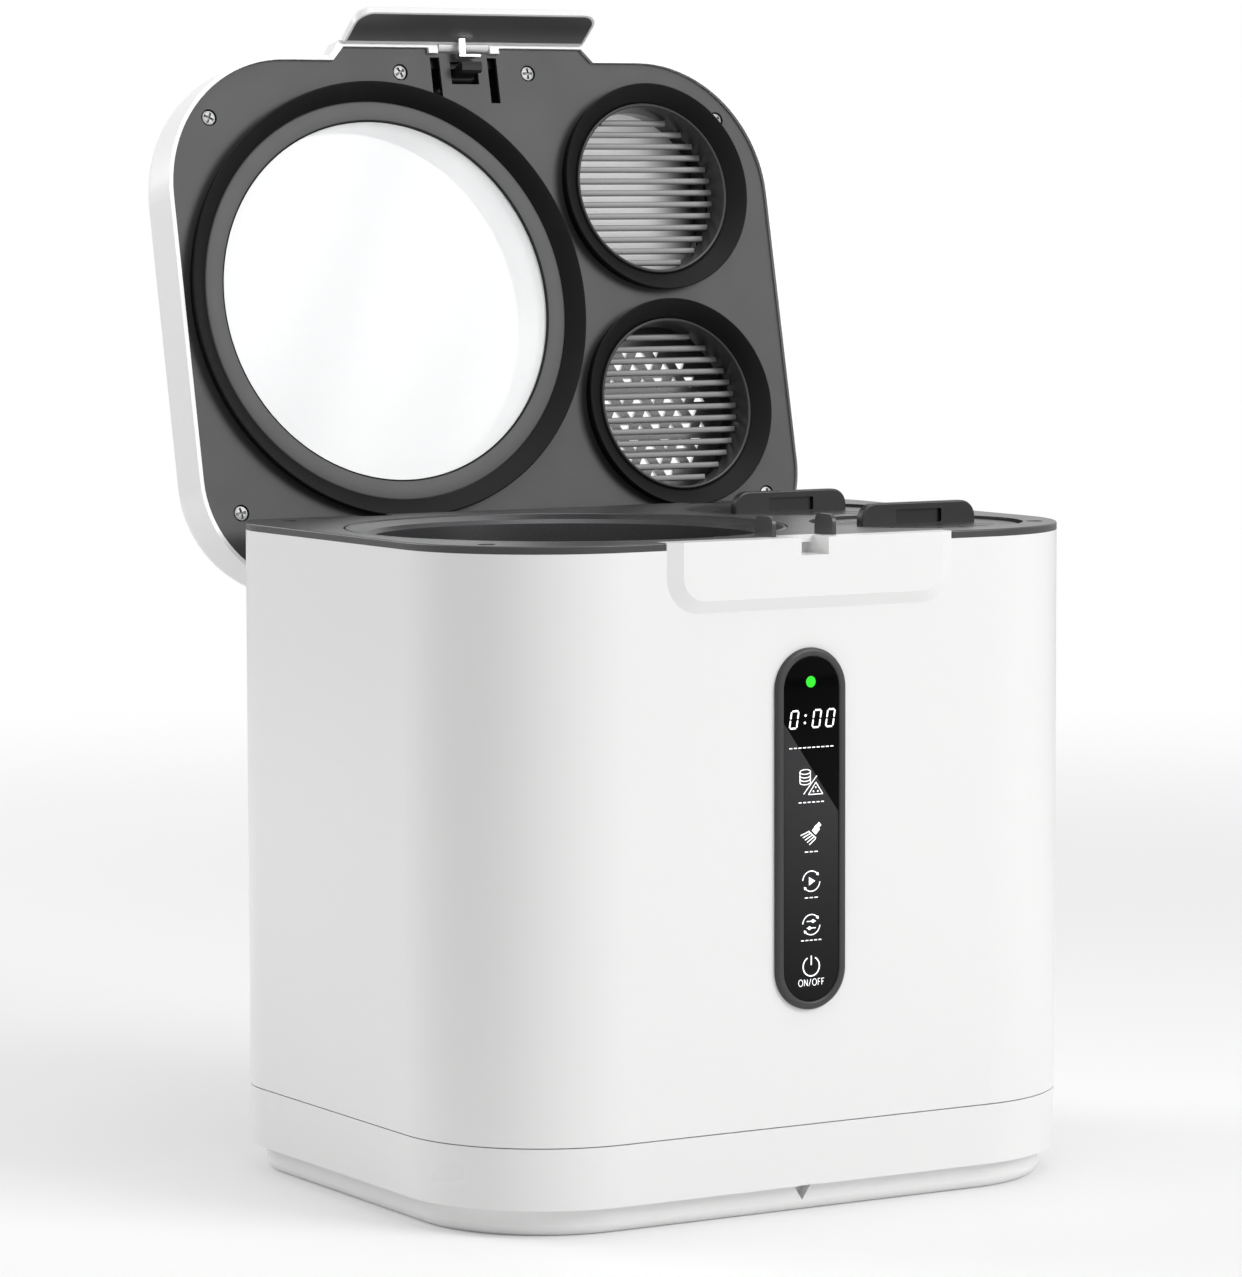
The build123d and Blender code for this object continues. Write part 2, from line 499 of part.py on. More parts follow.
cover -= cyl(10.02, GEARBOX_Z1 - 5, 150, OUT_XY) + cyl(3.02, 120, GEARBOX_Z1 - 1, IDLER_XY)
save("gearbox_cover", cover)
bearing = tube(6.0 + RUN, 10.0, GEARBOX_Z1 - 4.5, GEARBOX_Z1 + 4, OUT_XY)
save("output_bearing", bearing)
save("idler_pin", cyl(3.0, GEARBOX_Z0 + 1, GEARBOX_Z1 - 1, IDLER_XY))

motor = turned([(0, 46), (9, 46), (9, 49), (21, 49), (22.5, 51), (22.5, 100), (21, 102), (12, 102),
                (12, 104), (8.9, 104), (8.9, 106.5), (2.5 + RUN, 106.5), (2.5 + RUN, 93), (0, 93)])
for k in range(6):
    motor -= Rot(0, 0, 60 * k) * box(20.8, 24, -4, 4, 58, 66)
motor += Rot(0, 0, 30) * box(-3, 3, -17, -12, 42, 50) + Rot(0, 0, 210) * box(-3, 3, -17, -12, 42, 50)
save("drive_motor", Pos(MOTOR_XY[0], MOTOR_XY[1], 0) * motor)


# ---- air path: wells, plenum, fan ----
def stadium_y(r, extra=0.0):
    y0, y1 = FILTERS["front"][1], FILTERS["rear"][1]
    return Pos(104.0, (y0 + y1) / 2) * SlotOverall(y1 - y0 + 2 * r, 2 * r, rotation=90)


wells = None
for c in FILTERS.values():
    w = cyl(49.2, WELL_Z0, WELL_Z1, c) + cyl(51.4, WELL_Z1 - 2.5, WELL_Z1, c)
    wells = w if wells is None else wells + w
wells += box(98, 100, -22, 2, WELL_Z0 + 8, WELL_Z1 - 1) + box(108, 110, -22, 2, WELL_Z0 + 8, WELL_Z1 - 1)
for c in FILTERS.values():
    wells -= cyl(47.2, WELL_Z0 + 2.5, WELL_Z1 + 1, c) + cyl(34, WELL_Z0 - 1, WELL_Z0 + 4, c)
save("filter_wells", wells)
plenum = prism(stadium_y(47), FAN_Z1, WELL_Z0) - prism(stadium_y(45), FAN_Z1 + 2, WELL_Z0 + 1)
plenum -= cyl(37.5, FAN_Z1 - 1, FAN_Z1 + 3, FAN_XY)
for y in (-50, 42):
    plenum += box(103, 105, y - 12, y + 2, FAN_Z1 + 1.5, WELL_Z0 - 4)
save("air_plenum", plenum)
fx, fy = FAN_XY
frame = fillet(Rectangle(FAN_SIDE, FAN_SIDE).vertices(), 7)
frame = prism(frame, FAN_Z0, FAN_Z1) - cyl(37.5, FAN_Z0 - 1, FAN_Z1 + 1)
for sx in (-1, 1):
    for sy in (-1, 1):
        frame -= cyl(2.2, FAN_Z0 - 1, FAN_Z1 + 1, (34.5 * sx, 34.5 * sy))
for a in (35, 125, 215, 305):
    frame += Rot(0, 0, a) * box(8, 38.5, -1.6, 1.6, FAN_Z0, FAN_Z0 + 2.6)
frame += cyl(14, FAN_Z0, FAN_Z0 + 3) + cyl(11.5, FAN_Z0 + 1, FAN_Z0 + 18)
frame -= cyl(1.5 + RUN, FAN_Z0 + 4, FAN_Z1)
save("fan_frame", Pos(fx, fy, 0) * frame)
hub = cyl(16, FAN_Z0 + 4.2, FAN_Z1 - 1.5) - cyl(13, FAN_Z0 + 3, FAN_Z1 - 4)
hub = fillet(hub.faces().sort_by(Axis.Z)[-1].edges(), 1.5) + cyl(1.5, FAN_Z0 + 5, FAN_Z1 - 3)
for k in range(7):
    b = Pos(25.8, 0, FAN_Z0 + 14) * Rot(38, 0, 0) * Box(22, 1.8, 20)
    hub += Rot(0, 0, 360 / 7 * k) * (b & tube(14.5, 36.3, FAN_Z0 + 5.5, FAN_Z1 - 2))
save("fan_impeller", Pos(fx, fy, 0) * hub)


# ---- electronics in the base ----
def power_board():
    s = box(64, 142, -66, 56, 46, 47.6)
    s += box(76, 108, -50, -22, 47.6, 76) + box(80, 104, -46, -26, 75, 80)
    for x, y, r, h in ((122, -46, 9, 30), (122, -22, 7, 24), (96, 6, 6, 20), (80, 8, 5, 14)):
        s += cyl(r, 47, 47.6 + h, (x, y))
    s += box(110, 138, 6, 30, 47.6, 64) + box(72, 100, 30, 46, 47.6, 60) + box(112, 116, -8, 2, 47, 72)
    for x, y in POSTS:
        s -= cyl(1.7, 40, 50, (x, y))
    return s


save("power_board", power_board())
ix, iz = INLET
inlet = box(ix - 14, ix + 14, 110, 134.5, iz - 10.5, iz + 10.5)
flange = box(ix - 25, ix + 25, 134.5, 137.0, iz - 12.5, iz + 12.5)
flange = fillet(flange.edges().filter_by(Axis.Y), 4)
inlet = inlet + flange - xz_prism([(ix - 11.5, iz - 7.5), (ix + 11.5, iz - 7.5), (ix + 11.5, iz + 3),
                                   (ix + 7, iz + 7.5), (ix - 7, iz + 7.5), (ix - 11.5, iz + 3)], 118, 140)
for sx in (-1, 1):
    inlet -= ycyl(1.8, 133, 138, ix + 20 * sx, iz)
save("power_inlet", inlet)
pins = [box(ix + dx - 1, ix + dx + 1, 118, 131, iz + dz - 2, iz + dz + 2) for dx, dz in ((-7, -2), (0, 2), (7, -2))]
save("inlet_pins", *pins)


# ---- hinge ----
def bracket(x):
    h0, h1 = ARM_W / 2 + 2.0, ARM_W / 2 + 4.5
    s = None
    for sx in (-1, 1):
        c = xcyl(8.8, min(sx * h0, sx * h1), max(sx * h0, sx * h1), HINGE_Y, HINGE_Z)
        c += box(min(sx * h0, sx * h1), max(sx * h0, sx * h1), 104, HINGE_Y, 288.2, DECK_Z - DECK_T)
        c += box(min(sx * h0, sx * (h1 + 9)), max(sx * h0, sx * (h1 + 9)), 104, 119, DECK_Z - DECK_T - 2.4, DECK_Z - DECK_T)
        s = c if s is None else s + c
    s += box(-h1, h1, 104, HINGE_Y - 3, 285.8, 288.3)
    s -= xcyl(HINGE_PIN_R + 0.02, -20, 20, HINGE_Y, HINGE_Z)
    return Pos(x, 0, 0) * s


save("hinge_brackets", bracket(-ARM_X), bracket(ARM_X))
save("hinge_pins", *[xcyl(HINGE_PIN_R, x - ARM_W / 2 - 6, x + ARM_W / 2 + 6, HINGE_Y, HINGE_Z) for x in (-ARM_X, ARM_X)])


def hinge_arm(x):
    w = ARM_W / 2
    s = xcyl(7.5, -w, w, HINGE_Y, HINGE_Z)
    s += yz_prism([(HINGE_Y - 6.5, HINGE_Z), (HINGE_Y + 6.0, HINGE_Z), (HINGE_Y + 6.5, 325), (HINGE_Y - 9.5, 325)], -w, w)
    foot_ = box(-w - 8, w + 8, HINGE_Y - 16, HINGE_Y + 9, LINER_Z + LINER_T, LINER_Z + LINER_T + 3)
    s += fillet(foot_.edges().filter_by(Axis.Z), 4)
    s -= box(-w + 3, w - 3, HINGE_Y - 12, HINGE_Y + 12, 310, 322)
    s -= xcyl(HINGE_PIN_R + RUN, -w - 1, w + 1, HINGE_Y, HINGE_Z)
    return Pos(x, 0, 0) * s


save("hinge_arms", rest_lid(hinge_arm(-ARM_X)), rest_lid(hinge_arm(ARM_X)))


# ---- lid ----
TOP_Z = LINER_Z + LID_T
RIM_Z = LINER_Z - RIM_DROP
LID_SCREWS = [(-37.4, -127.6), (37.4, -127.6), (-148.5, -103.5), (148.5, -103.5), (-153.6, 95.8), (153.6, 95.8)]


def bulge(grow, z0, z1):
    y = BULGE_Y - grow * 1.5
    return prism(poly([(-BULGE_IN - grow * 1.3, -126), (-BULGE_IN - grow * 1.3, LINER_REAR - LINER_D - grow * 0.5),
                       (-BULGE_OUT - grow * 1.1, y), (BULGE_OUT + grow * 1.1, y),
                       (BULGE_IN + grow * 1.3, LINER_REAR - LINER_D - grow * 0.5), (BULGE_IN + grow * 1.3, -126)]), z0, z1)


def lid_shell():
    s = prism(lid_face(RIM_T), RIM_Z, TOP_Z)
    s = fillet(s.faces().sort_by(Axis.Z)[-1].edges(), LID_ROUND)
    nose = bulge(RIM_T, RIM_Z, 336)
    nose = chamfer(nose.faces().sort_by(Axis.Z)[-1].edges().filter_by(lambda e: e.center().Y < -138), 7.5)
    s += nose
    cav = prism(lid_face(0.1), RIM_Z - 1, TOP_Z - 2.6)
    cav = fillet(cav.faces().sort_by(Axis.Z)[-1].edges(), LID_ROUND - 2)
    s -= cav
    s -= bulge(0.1, RIM_Z - 1, 326.5)
    s -= cyl(93.0, TOP_Z - 10, TOP_Z + 5, BUCKET)
    s += tube(93.0, 95.2, LINER_Z + 4.2, TOP_Z - 1.5, BUCKET)
    for x, y in LID_SCREWS:
        s += cyl(4.2, LINER_Z + LINER_T, TOP_Z - 1.5, (x, y)) & prism(lid_face(1.0), 300, TOP_Z - 1)
        s -= cyl(1.55, 300, TOP_Z - 6, (x, y))
    cx, cy = FILTERS["rear"]
    pitch = 9.4
    for i in range(-4, 5):
        for j in range(-4, 5):
            px, py = i * pitch + (pitch / 2 if j % 2 else 0), j * pitch * 0.87
            if math.hypot(px, py) < 36:
                up = (i + j) % 2
                tri = [(0, 3.4), (-3.4, -2.6), (3.4, -2.6)] if up else [(0, -3.4), (3.4, 2.6), (-3.4, 2.6)]
                s -= prism(poly([(cx + px + a, cy + py + b) for a, b in tri]), TOP_Z - 6, TOP_Z + 2)
    s -= box(-15.2, 15.2, -146, -138.0, RIM_Z - 1, 325.5)
    for sx in (-1, 1):
        lug = box(min(sx * 15.2, sx * 20.6), max(sx * 15.2, sx * 20.6), -143.6, -137.4, RIM_Z, 326)
        s += lug
    s -= xcyl(1.52, -19.6, 19.6, *LEVER_P)
    return s


save("lid_shell", rest_lid(lid_shell()))


def lid_liner():
    s = prism(lid_face(-0.1), LINER_Z, LINER_Z + LINER_T) + bulge(-0.1, LINER_Z, LINER_Z + LINER_T)
    s += prism(lid_face(-0.1), LINER_Z + 1, LINER_Z + 9) - prism(lid_face(-1.9), LINER_Z, LINER_Z + 10) - box(
        -80, 80, -140, -120, LINER_Z, LINER_Z + 12)
    s -= cyl(99.2, LINER_Z - 1, LINER_Z + 12, BUCKET)
    for c in FILTERS.values():
        s -= cyl(44.8, LINER_Z - 1, LINER_Z + 12, c)
    z1 = LINER_Z + 11.5
    pocket = box(-24, 24, -137.2, -109.5, LINER_Z + 1, LINER_Z + 6.8)
    pocket += box(-24, 24, -132.4, -109.5, LINER_Z + 1, z1)
    pocket -= box(-22.4, 22.4, -135.6, -111, LINER_Z, LINER_Z + 5.2)
    s += pocket - box(-22.4, 22.4, -130.8, -111, LINER_Z, z1 - 1.6)
    for sx in (-1, 1):
        s -= box(sx * 16.7 - 2.75, sx * 16.7 + 2.75, -136.0 + 0.5, -111.8, LINER_Z - 1, LINER_Z + 5)
        s += box(min(sx * 9.0, sx * 10.6), max(sx * 9.0, sx * 10.6), -130.5, -121.5, LINER_Z + 1, z1 - 1)
    s -= box(-8, 8, -133.4, -121.6, LINER_Z - 1, LINER_Z + 5)
    s -= box(-15.4, 15.4, -146, -137.6, LINER_Z - 1, LINER_Z + 9)
    for sx in (-1, 1):
        s -= box(min(sx * 15.0, sx * 20.8), max(sx * 15.0, sx * 20.8), -146, -137.2, LINER_Z - 1, LINER_Z + 9)
        s -= box(sx * ARM_X - ARM_W / 2 - 0.1, sx * ARM_X + ARM_W / 2 + 0.1, HINGE_Y - 9.8, HINGE_Y + 7, LINER_Z - 1, LINER_Z + 3)
    s -= xcyl(1.52, -10.2, 10.2, *HOOK_Q)
    for x, y in LID_SCREWS:
        s -= cyl(1.8, LINER_Z - 1, LINER_Z + 5, (x, y)) + cyl(4.3, LINER_Z - 1, LINER_Z + 1.8, (x, y))
    return s


save("lid_liner", rest_lid(lid_liner()))
save("lid_screws", *[rest_lid(screw(x, y, LINER_Z + 0.2, 14, up=True)) for x, y in LID_SCREWS])
frame_ring = turned([(92.6, 318.4), (101.8, 318.4), (102.3, 318.9), (102.3, LINER_Z), (99.0, LINER_Z),
                     (99.0, 323.6), (97.3, 323.6), (97.3, 319.5), (92.6, 319.5)], BUCKET)
save("window_frame", rest_lid(frame_ring))
save("window_glass", rest_lid(cyl(97.1, 319.55, 323.4, BUCKET)))
seal = turned([(102.4, LINER_Z), (102.4, 318.6), (110.4, 312.7), (111.2, 312.6), (111.6, 313.2), (110.0, LINER_Z)], BUCKET)
save("window_seal", rest_lid(seal))
for key, c in FILTERS.items():
    seal = turned([(45.0, LINER_Z), (45.0, 319.0), (53.6, 312.5), (54.3, 312.5), (54.6, 313.1), (53.4, LINER_Z)], c)
    save(f"vent_seal_{key}", rest_lid(seal))
    g = tube(43.2, 44.6, LINER_Z - 0.4, 334.2, c)
    g += tube(44.0, 47.4, LINER_Z + LINER_T, LINER_Z + LINER_T + 1.8, c)
    n = 13
    for i in range(n):
        dy = (i - (n - 1) / 2) * 6.2
        h = math.sqrt(max(43.9 ** 2 - (abs(dy) + 1.5) ** 2, 0))
        if h > 6:
            g += box(c[0] - h, c[0] + h, c[1] + dy - 1.5, c[1] + dy + 1.5, 329.8, 333.0)
    save(f"louvre_grille_{key}", rest_lid(g))
duct = prism(stadium_y(48.2), 334.3, TOP_Z - 2.7) - prism(stadium_y(46.2), 330, TOP_Z + 1)
duct += (prism(stadium_y(47.0), 340, TOP_Z - 2.7) & box(50, 160, -130, -8, 300, 400)) - Pos(
    104, -67, 330) * Rot(90, 0, 0) * Cylinder(46, 150)
duct = duct & prism(lid_face(-1.0), 300, TOP_Z - 2.7)
save("lid_duct", rest_lid(duct))


# ---- lever, latch arm, hook ----
def lever_cover():
    pts_out = Pos(0, (LEVER_TOP + LEVER_BOT) / 2) * Rectangle(2 * LEVER_HW, LEVER_TOP - LEVER_BOT)
    pts_out = fillet(pts_out.vertices().sort_by(Axis.Y)[:2], 9.0)
    s = Pos(0, LEVER_IN, 0) * extrude(Plane.XZ * pts_out, LEVER_IN - LEVER_OUT, dir=(0, -1, 0))
    s = fillet(s.faces().sort_by(Axis.Y)[0].edges(), 2.2)
    pocket = Pos(0, (LEVER_TOP + LEVER_BOT) / 2) * Rectangle(2 * LEVER_HW - 2.4, LEVER_TOP - LEVER_BOT - 2.4)
    pocket = fillet(pocket.vertices().sort_by(Axis.Y)[:2], 8.0)
    s -= Pos(0, LEVER_IN + 1, 0) * extrude(Plane.XZ * pocket, 2.9, dir=(0, -1, 0))
    y, z = LEVER_P
    knuckle = xcyl(3.0, -14.6, 14.6, y, z) + box(-14.6, 14.6, -143.6, -141.9, LEVER_TOP - 2.2, z)
    s += knuckle
    s -= xcyl(1.5 + RUN, -16, 16, y, z)
    return s


def lever_plate():
    p = Pos(0, (LEVER_TOP + LEVER_BOT) / 2) * Rectangle(2 * LEVER_HW - 2.6, LEVER_TOP - LEVER_BOT - 2.6)
    p = fillet(p.vertices().sort_by(Axis.Y)[:2], 7.9)
    s = Pos(0, LEVER_IN, 0) * extrude(Plane.XZ * p, 1.8, dir=(0, -1, 0))
    return fillet(s.faces().sort_by(Axis.Y)[-1].edges(), 0.6)


save("lever_cover", rest_lever(lever_cover()))
save("lever_plate", rest_lever(lever_plate()))
a0, a1 = (LEVER_IN - 0.6, 313.0), (-133.45, 317.95)
dy, dz = a1[0] - a0[0], a1[1] - a0[1]
ln, tilt = math.hypot(dy, dz), math.degrees(math.atan2(dz, dy))
arm = Pos(-3.2, a0[0], a0[1]) * Rot(tilt, 0, 0) * Pos(0, ln / 2, 0) * Box(4.2, ln + 1.0, 2.2)
arm = fillet(arm.edges().filter_by(lambda e: abs(e.tangent_at(0).X) < 0.1 and e.length > 6), 0.8)
arm += xcyl(1.3, -5.3, 7.0, a1[0], a1[1])
arm -= box(-10, 10, LEVER_IN - 8, LEVER_IN, 300, 330)
save("latch_arm", rest_lever(arm))
qy, qz = HOOK_Q
hook = xcyl(3.2, -7.4, 7.4, qy, qz)
hook += yz_prism([(qy - 1.6, qz), (qy + 1.6, qz), (qy + 1.2, 313.6), (qy + 3.8, 313.4), (qy + 3.2, 311.4),
                  (qy + 1.0, 310.2), (qy - 1.2, 310.2)], -5.8, 5.8)
for k in range(3):
    hook += box(-5.8, 5.8, qy - 2.0, qy - 1.0, 313.2 + 2.6 * k, 314.4 + 2.6 * k)
hook -= xcyl(1.5 + RUN, -9, 9, qy, qz)
save("latch_hook", rest_hook(hook))
save("latch_pins", rest_lid(xcyl(1.5, -19.5, 19.5, *LEVER_P)), rest_lid(xcyl(1.5, -10.1, 10.1, qy, qz)))


# ---- filter boxes ----
for key, c in FILTERS.items():
    top = cyl(FILTER_R, WELL_Z1 + 2.5, FILTER_TOP)
    top = fillet(top.faces().sort_by(Axis.Z)[-1].edges(), 0.8)
    bar = Pos(0, FILTER_TOP + GRIP_H / 2 - 0.5) * Rectangle(GRIP_L, GRIP_H + 1)
    bar = fillet(bar.vertices().sort_by(Axis.Y)[-2:], 8.0)
    bar = Pos(0, GRIP_T / 2, 0) * extrude(Plane.XZ * bar, GRIP_T, dir=(0, -1, 0))
    bar = fillet(bar.edges().filter_by(lambda e: e.center().Z > FILTER_TOP + 3 and abs(abs(e.center().Y) - GRIP_T / 2) < 0.01), 0.8)
    bar -= fillet(box(-13.2, 13.2, -5, -GRIP_T / 2 + 1.8, FILTER_TOP + 0.8, FILTER_TOP + 7.5).edges().filter_by(Axis.Y), 0.8)
    top = top + bar + tube(41.6, 44.1, 304.5, WELL_Z1 + 3)
    for k in range(16):
        a = 22.5 * k + 11.25
        if abs(math.sin(math.radians(a))) > 0.25:
            top -= Rot(0, 0, a) * Pos(33, 0, 314) * Box(9, 2.4, 8)
    save(f"filter_lid_{key}", Pos(c[0], c[1], 0) * top)
    can = cyl(46.2, WELL_Z0 + 3.5, WELL_Z1 + 2.2) - cyl(44.4, WELL_Z0 + 5.5, WELL_Z1 + 4)
    for i in range(-3, 4):
        h = math.sqrt(36 ** 2 - (8 * i) ** 2)
        can -= box(-h, h, 8 * i - 1.8, 8 * i + 1.8, WELL_Z0 + 2, WELL_Z0 + 6)
    save(f"filter_canister_{key}", Pos(c[0], c[1], 0) * can)


def at_rest(y, z):
    a = math.radians(OPEN_DEG)
    dy, dz = y - HINGE_Y, z - HINGE_Z
    return (round(HINGE_Y + dy * math.cos(a) + dz * math.sin(a), 3),
            round(HINGE_Z - dy * math.sin(a) + dz * math.cos(a), 3))


print("hinge", HINGE_Y, HINGE_Z, "lever", at_rest(*LEVER_P), "hook", at_rest(*HOOK_Q))
print("idler", IDLER_XY, "motor", MOTOR_XY)
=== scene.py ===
import math

import bmesh
import bpy
import numpy as np
from mathutils import Matrix


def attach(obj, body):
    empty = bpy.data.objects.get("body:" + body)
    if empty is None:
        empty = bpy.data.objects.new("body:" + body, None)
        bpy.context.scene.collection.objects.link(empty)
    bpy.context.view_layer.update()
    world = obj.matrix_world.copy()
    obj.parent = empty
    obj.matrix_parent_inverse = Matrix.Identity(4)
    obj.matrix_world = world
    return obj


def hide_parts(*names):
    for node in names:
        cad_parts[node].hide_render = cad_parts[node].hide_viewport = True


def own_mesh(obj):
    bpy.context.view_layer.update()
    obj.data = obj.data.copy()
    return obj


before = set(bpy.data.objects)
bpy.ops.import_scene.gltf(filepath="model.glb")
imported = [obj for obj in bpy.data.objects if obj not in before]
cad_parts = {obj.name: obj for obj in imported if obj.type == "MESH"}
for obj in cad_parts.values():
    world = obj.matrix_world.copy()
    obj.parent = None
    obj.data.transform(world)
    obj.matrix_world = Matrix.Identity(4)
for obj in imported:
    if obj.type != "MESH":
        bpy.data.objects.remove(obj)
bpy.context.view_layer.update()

MM = 0.001                              # the frame is in metres, sizes below in mm


# ---- base tray -------------------------------------------------------------
# Skirt, plinth and floor come from one injection mould, in glossy white ABS.
# The tray closes the cabinet from below and takes the four long case screws.

class Wire:
    """An output of a material's node. Arithmetic on it adds Math nodes."""

    def __init__(self, tree, output):
        self.tree, self.output = tree, output

    def math(self, operation, *values):
        node = self.tree.nodes.new("ShaderNodeMath")
        node.operation = operation
        for socket, value in zip(node.inputs, values):
            if isinstance(value, Wire):
                self.tree.links.new(value.output, socket)
            else:
                socket.default_value = value
        return Wire(self.tree, node.outputs[0])

    def __add__(self, other): return self.math("ADD", self, other)
    def __sub__(self, other): return self.math("SUBTRACT", self, other)
    def __rsub__(self, other): return self.math("SUBTRACT", other, self)
    def __mul__(self, other): return self.math("MULTIPLY", self, other)
    def __truediv__(self, other): return self.math("DIVIDE", self, other)
    def __rtruediv__(self, other): return self.math("DIVIDE", other, self)
    def __pow__(self, other): return self.math("POWER", self, other)
    def __gt__(self, other): return self.math("GREATER_THAN", self, other)
    def __lt__(self, other): return self.math("LESS_THAN", self, other)
    def __abs__(self): return self.math("ABSOLUTE", self)
    def sine(self): return self.math("SINE", self)
    __radd__, __rmul__ = __add__, __mul__

    def step(self, low, high):
        """0 below low, 1 above high, eased in between; falls if low is above high."""
        node = self.tree.nodes.new("ShaderNodeMapRange")
        node.interpolation_type = "SMOOTHSTEP"
        self.tree.links.new(self.output, node.inputs["Value"])
        node.inputs["From Min"].default_value = min(low, high)
        node.inputs["From Max"].default_value = max(low, high)
        if low > high:
            node.inputs["To Min"].default_value, node.inputs["To Max"].default_value = 1, 0
        return Wire(self.tree, node.outputs["Result"])


class Finish:
    """One finish: a Principled shader, its constants and the nodes that vary it."""

    def __init__(self, name, colour, roughness, **constants):
        self.material = bpy.data.materials.new(name)
        self.material.use_nodes = True
        self.tree = self.material.node_tree
        self.shader = self.tree.nodes["Principled BSDF"]
        self.slot, self.colour = name, colour
        self.set(Base_Color=(*colour, 1), Roughness=roughness, **constants)

    def join(self, socket, value):
        if isinstance(value, Wire):
            self.tree.links.new(value.output, socket)
        else:
            socket.default_value = value

    def set(self, **values):
        """Gives the shader's sockets a constant or a wire."""
        for name, value in values.items():
            self.join(self.shader.inputs[name.replace("_", " ")], value)
        return self

    def node(self, kind, settings=None, out=0, **feeds):
        """Any node: its type, its settings, then the values or wires of its sockets."""
        node = self.tree.nodes.new("ShaderNode" + kind)
        for key, value in (settings or {}).items():
            setattr(node, key, value)
        for name, value in feeds.items():
            key = int(name[1:]) if name[0] == "_" else name.replace("_", " ")
            self.join(node.inputs[key], value)
        return Wire(self.tree, node.outputs[out])

    def place(self, scale=(1, 1, 1), turn=(0, 0, 0)):
        """Object coordinates, stretched and turned by a Mapping node."""
        spot = self.node("TexCoord", out="Object")
        return self.node("Mapping", Vector=spot, Scale=scale, Rotation=turn)

    def axis(self, letter, turn=(0, 0, 0)):
        """One coordinate of the point as a wire, in mm."""
        return self.node("SeparateXYZ", Vector=self.place(turn=turn), out=letter) / MM

    def noise(self, size, detail=2.0, stretch=(1, 1, 1)):
        """Noise from 0 to 1 whose lumps are about size mm across."""
        spot = self.place(scale=tuple(s / (size * MM) for s in stretch))
        return self.node("TexNoise", Vector=spot, Scale=1.0, Detail=detail, Roughness=0.55)

    def cells(self, size, feature="F1"):
        """Distance to the nearest of scattered points about size mm apart."""
        spot = self.place(scale=(1 / (size * MM),) * 3)
        return self.node("TexVoronoi", {"feature": feature}, Vector=spot, Scale=1.0)

    def tint(self, mask, colour):
        """Turns the base colour into colour where mask is 1."""
        socket = self.shader.inputs["Base Color"]
        base = (Wire(self.tree, socket.links[0].from_socket) if socket.is_linked
                else (*self.colour, 1))
        return self.set(Base_Color=self.node("Mix", {"data_type": "RGBA"}, out=2,
                                             _0=mask, _6=base, _7=(*colour, 1)))

    def mottle(self, mask, gain):
        """Darkens the base colour by gain where mask is 1 and lightens it where it is 0."""
        light = tuple(min(1.0, c * (1 + gain)) for c in self.colour)
        dark = tuple(c * (1 - gain) for c in self.colour)
        return self.set(Base_Color=self.node("Mix", {"data_type": "RGBA"}, out=2,
                                             _0=mask, _6=(*light, 1), _7=(*dark, 1)))

    def emboss(self, height, depth):
        """Bump of depth mm for a height from 0 to 1; a second call adds to the first."""
        feeds = dict(Height=height, Distance=depth * MM, Strength=1.0)
        normal = self.shader.inputs["Normal"]
        if normal.is_linked:
            feeds["Normal"] = Wire(self.tree, normal.links[0].from_socket)
        return self.set(Normal=self.node("Bump", **feeds))


def gloss_plastic(name, colour, roughness=0.26):
    """Polished moulding: broad flow waves, a slight haze, almost even colour."""
    f = Finish(name, colour, roughness, Coat_Weight=0.2, Coat_Roughness=0.18)
    f.mottle(f.noise(140, 1), 0.006)
    f.set(Roughness=roughness + 0.05 * f.noise(60, 3))
    return f.emboss(f.noise(14, 1), 0.008)


def dress(finish, *nodes):
    """Gives CAD nodes this finish in every one of their material slots."""
    for node in nodes:
        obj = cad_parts[node]
        if not obj.material_slots:
            obj.data.materials.append(finish.material)
        for entry in obj.material_slots:
            entry.material = finish.material


white = gloss_plastic("white_gloss", (0.80, 0.80, 0.797))
dress(white, "base_tray")


# ---- rubber feet -----------------------------------------------------------
# Four soft pads are pressed into pockets of the tray's floor, flush with it.
# The same black rubber makes the lid's seals.

rubber = Finish("black_rubber", (0.0022, 0.0022, 0.0024), 0.5, Specular_IOR_Level=0.16)
rubber.tint(rubber.noise(25, 4).step(0.5, 0.85), (0.005, 0.005, 0.0055))
rubber.emboss(rubber.noise(0.5, 3), 0.012)
dress(rubber, "rubber_feet")


# ---- screws ----------------------------------------------------------------
# Cross-recess pan screws in zinc-plated steel: four long ones join the tray to
# the shell, four hold the deck, and six hold the liner in the lid.

def sheet(grid, round_u=False, round_v=False):
    """Quads over a grid of points, closed onto itself where a flag says."""
    rows, cols = grid.shape[:2]
    index = np.arange(rows * cols).reshape(rows, cols)
    if round_u:
        index = np.vstack([index, index[:1]])
    if round_v:
        index = np.hstack([index, index[:, :1]])
    quads = np.stack([index[:-1, :-1], index[1:, :-1], index[1:, 1:], index[:-1, 1:]], axis=-1)
    return grid.reshape(-1, 3), quads.reshape(-1, 4)


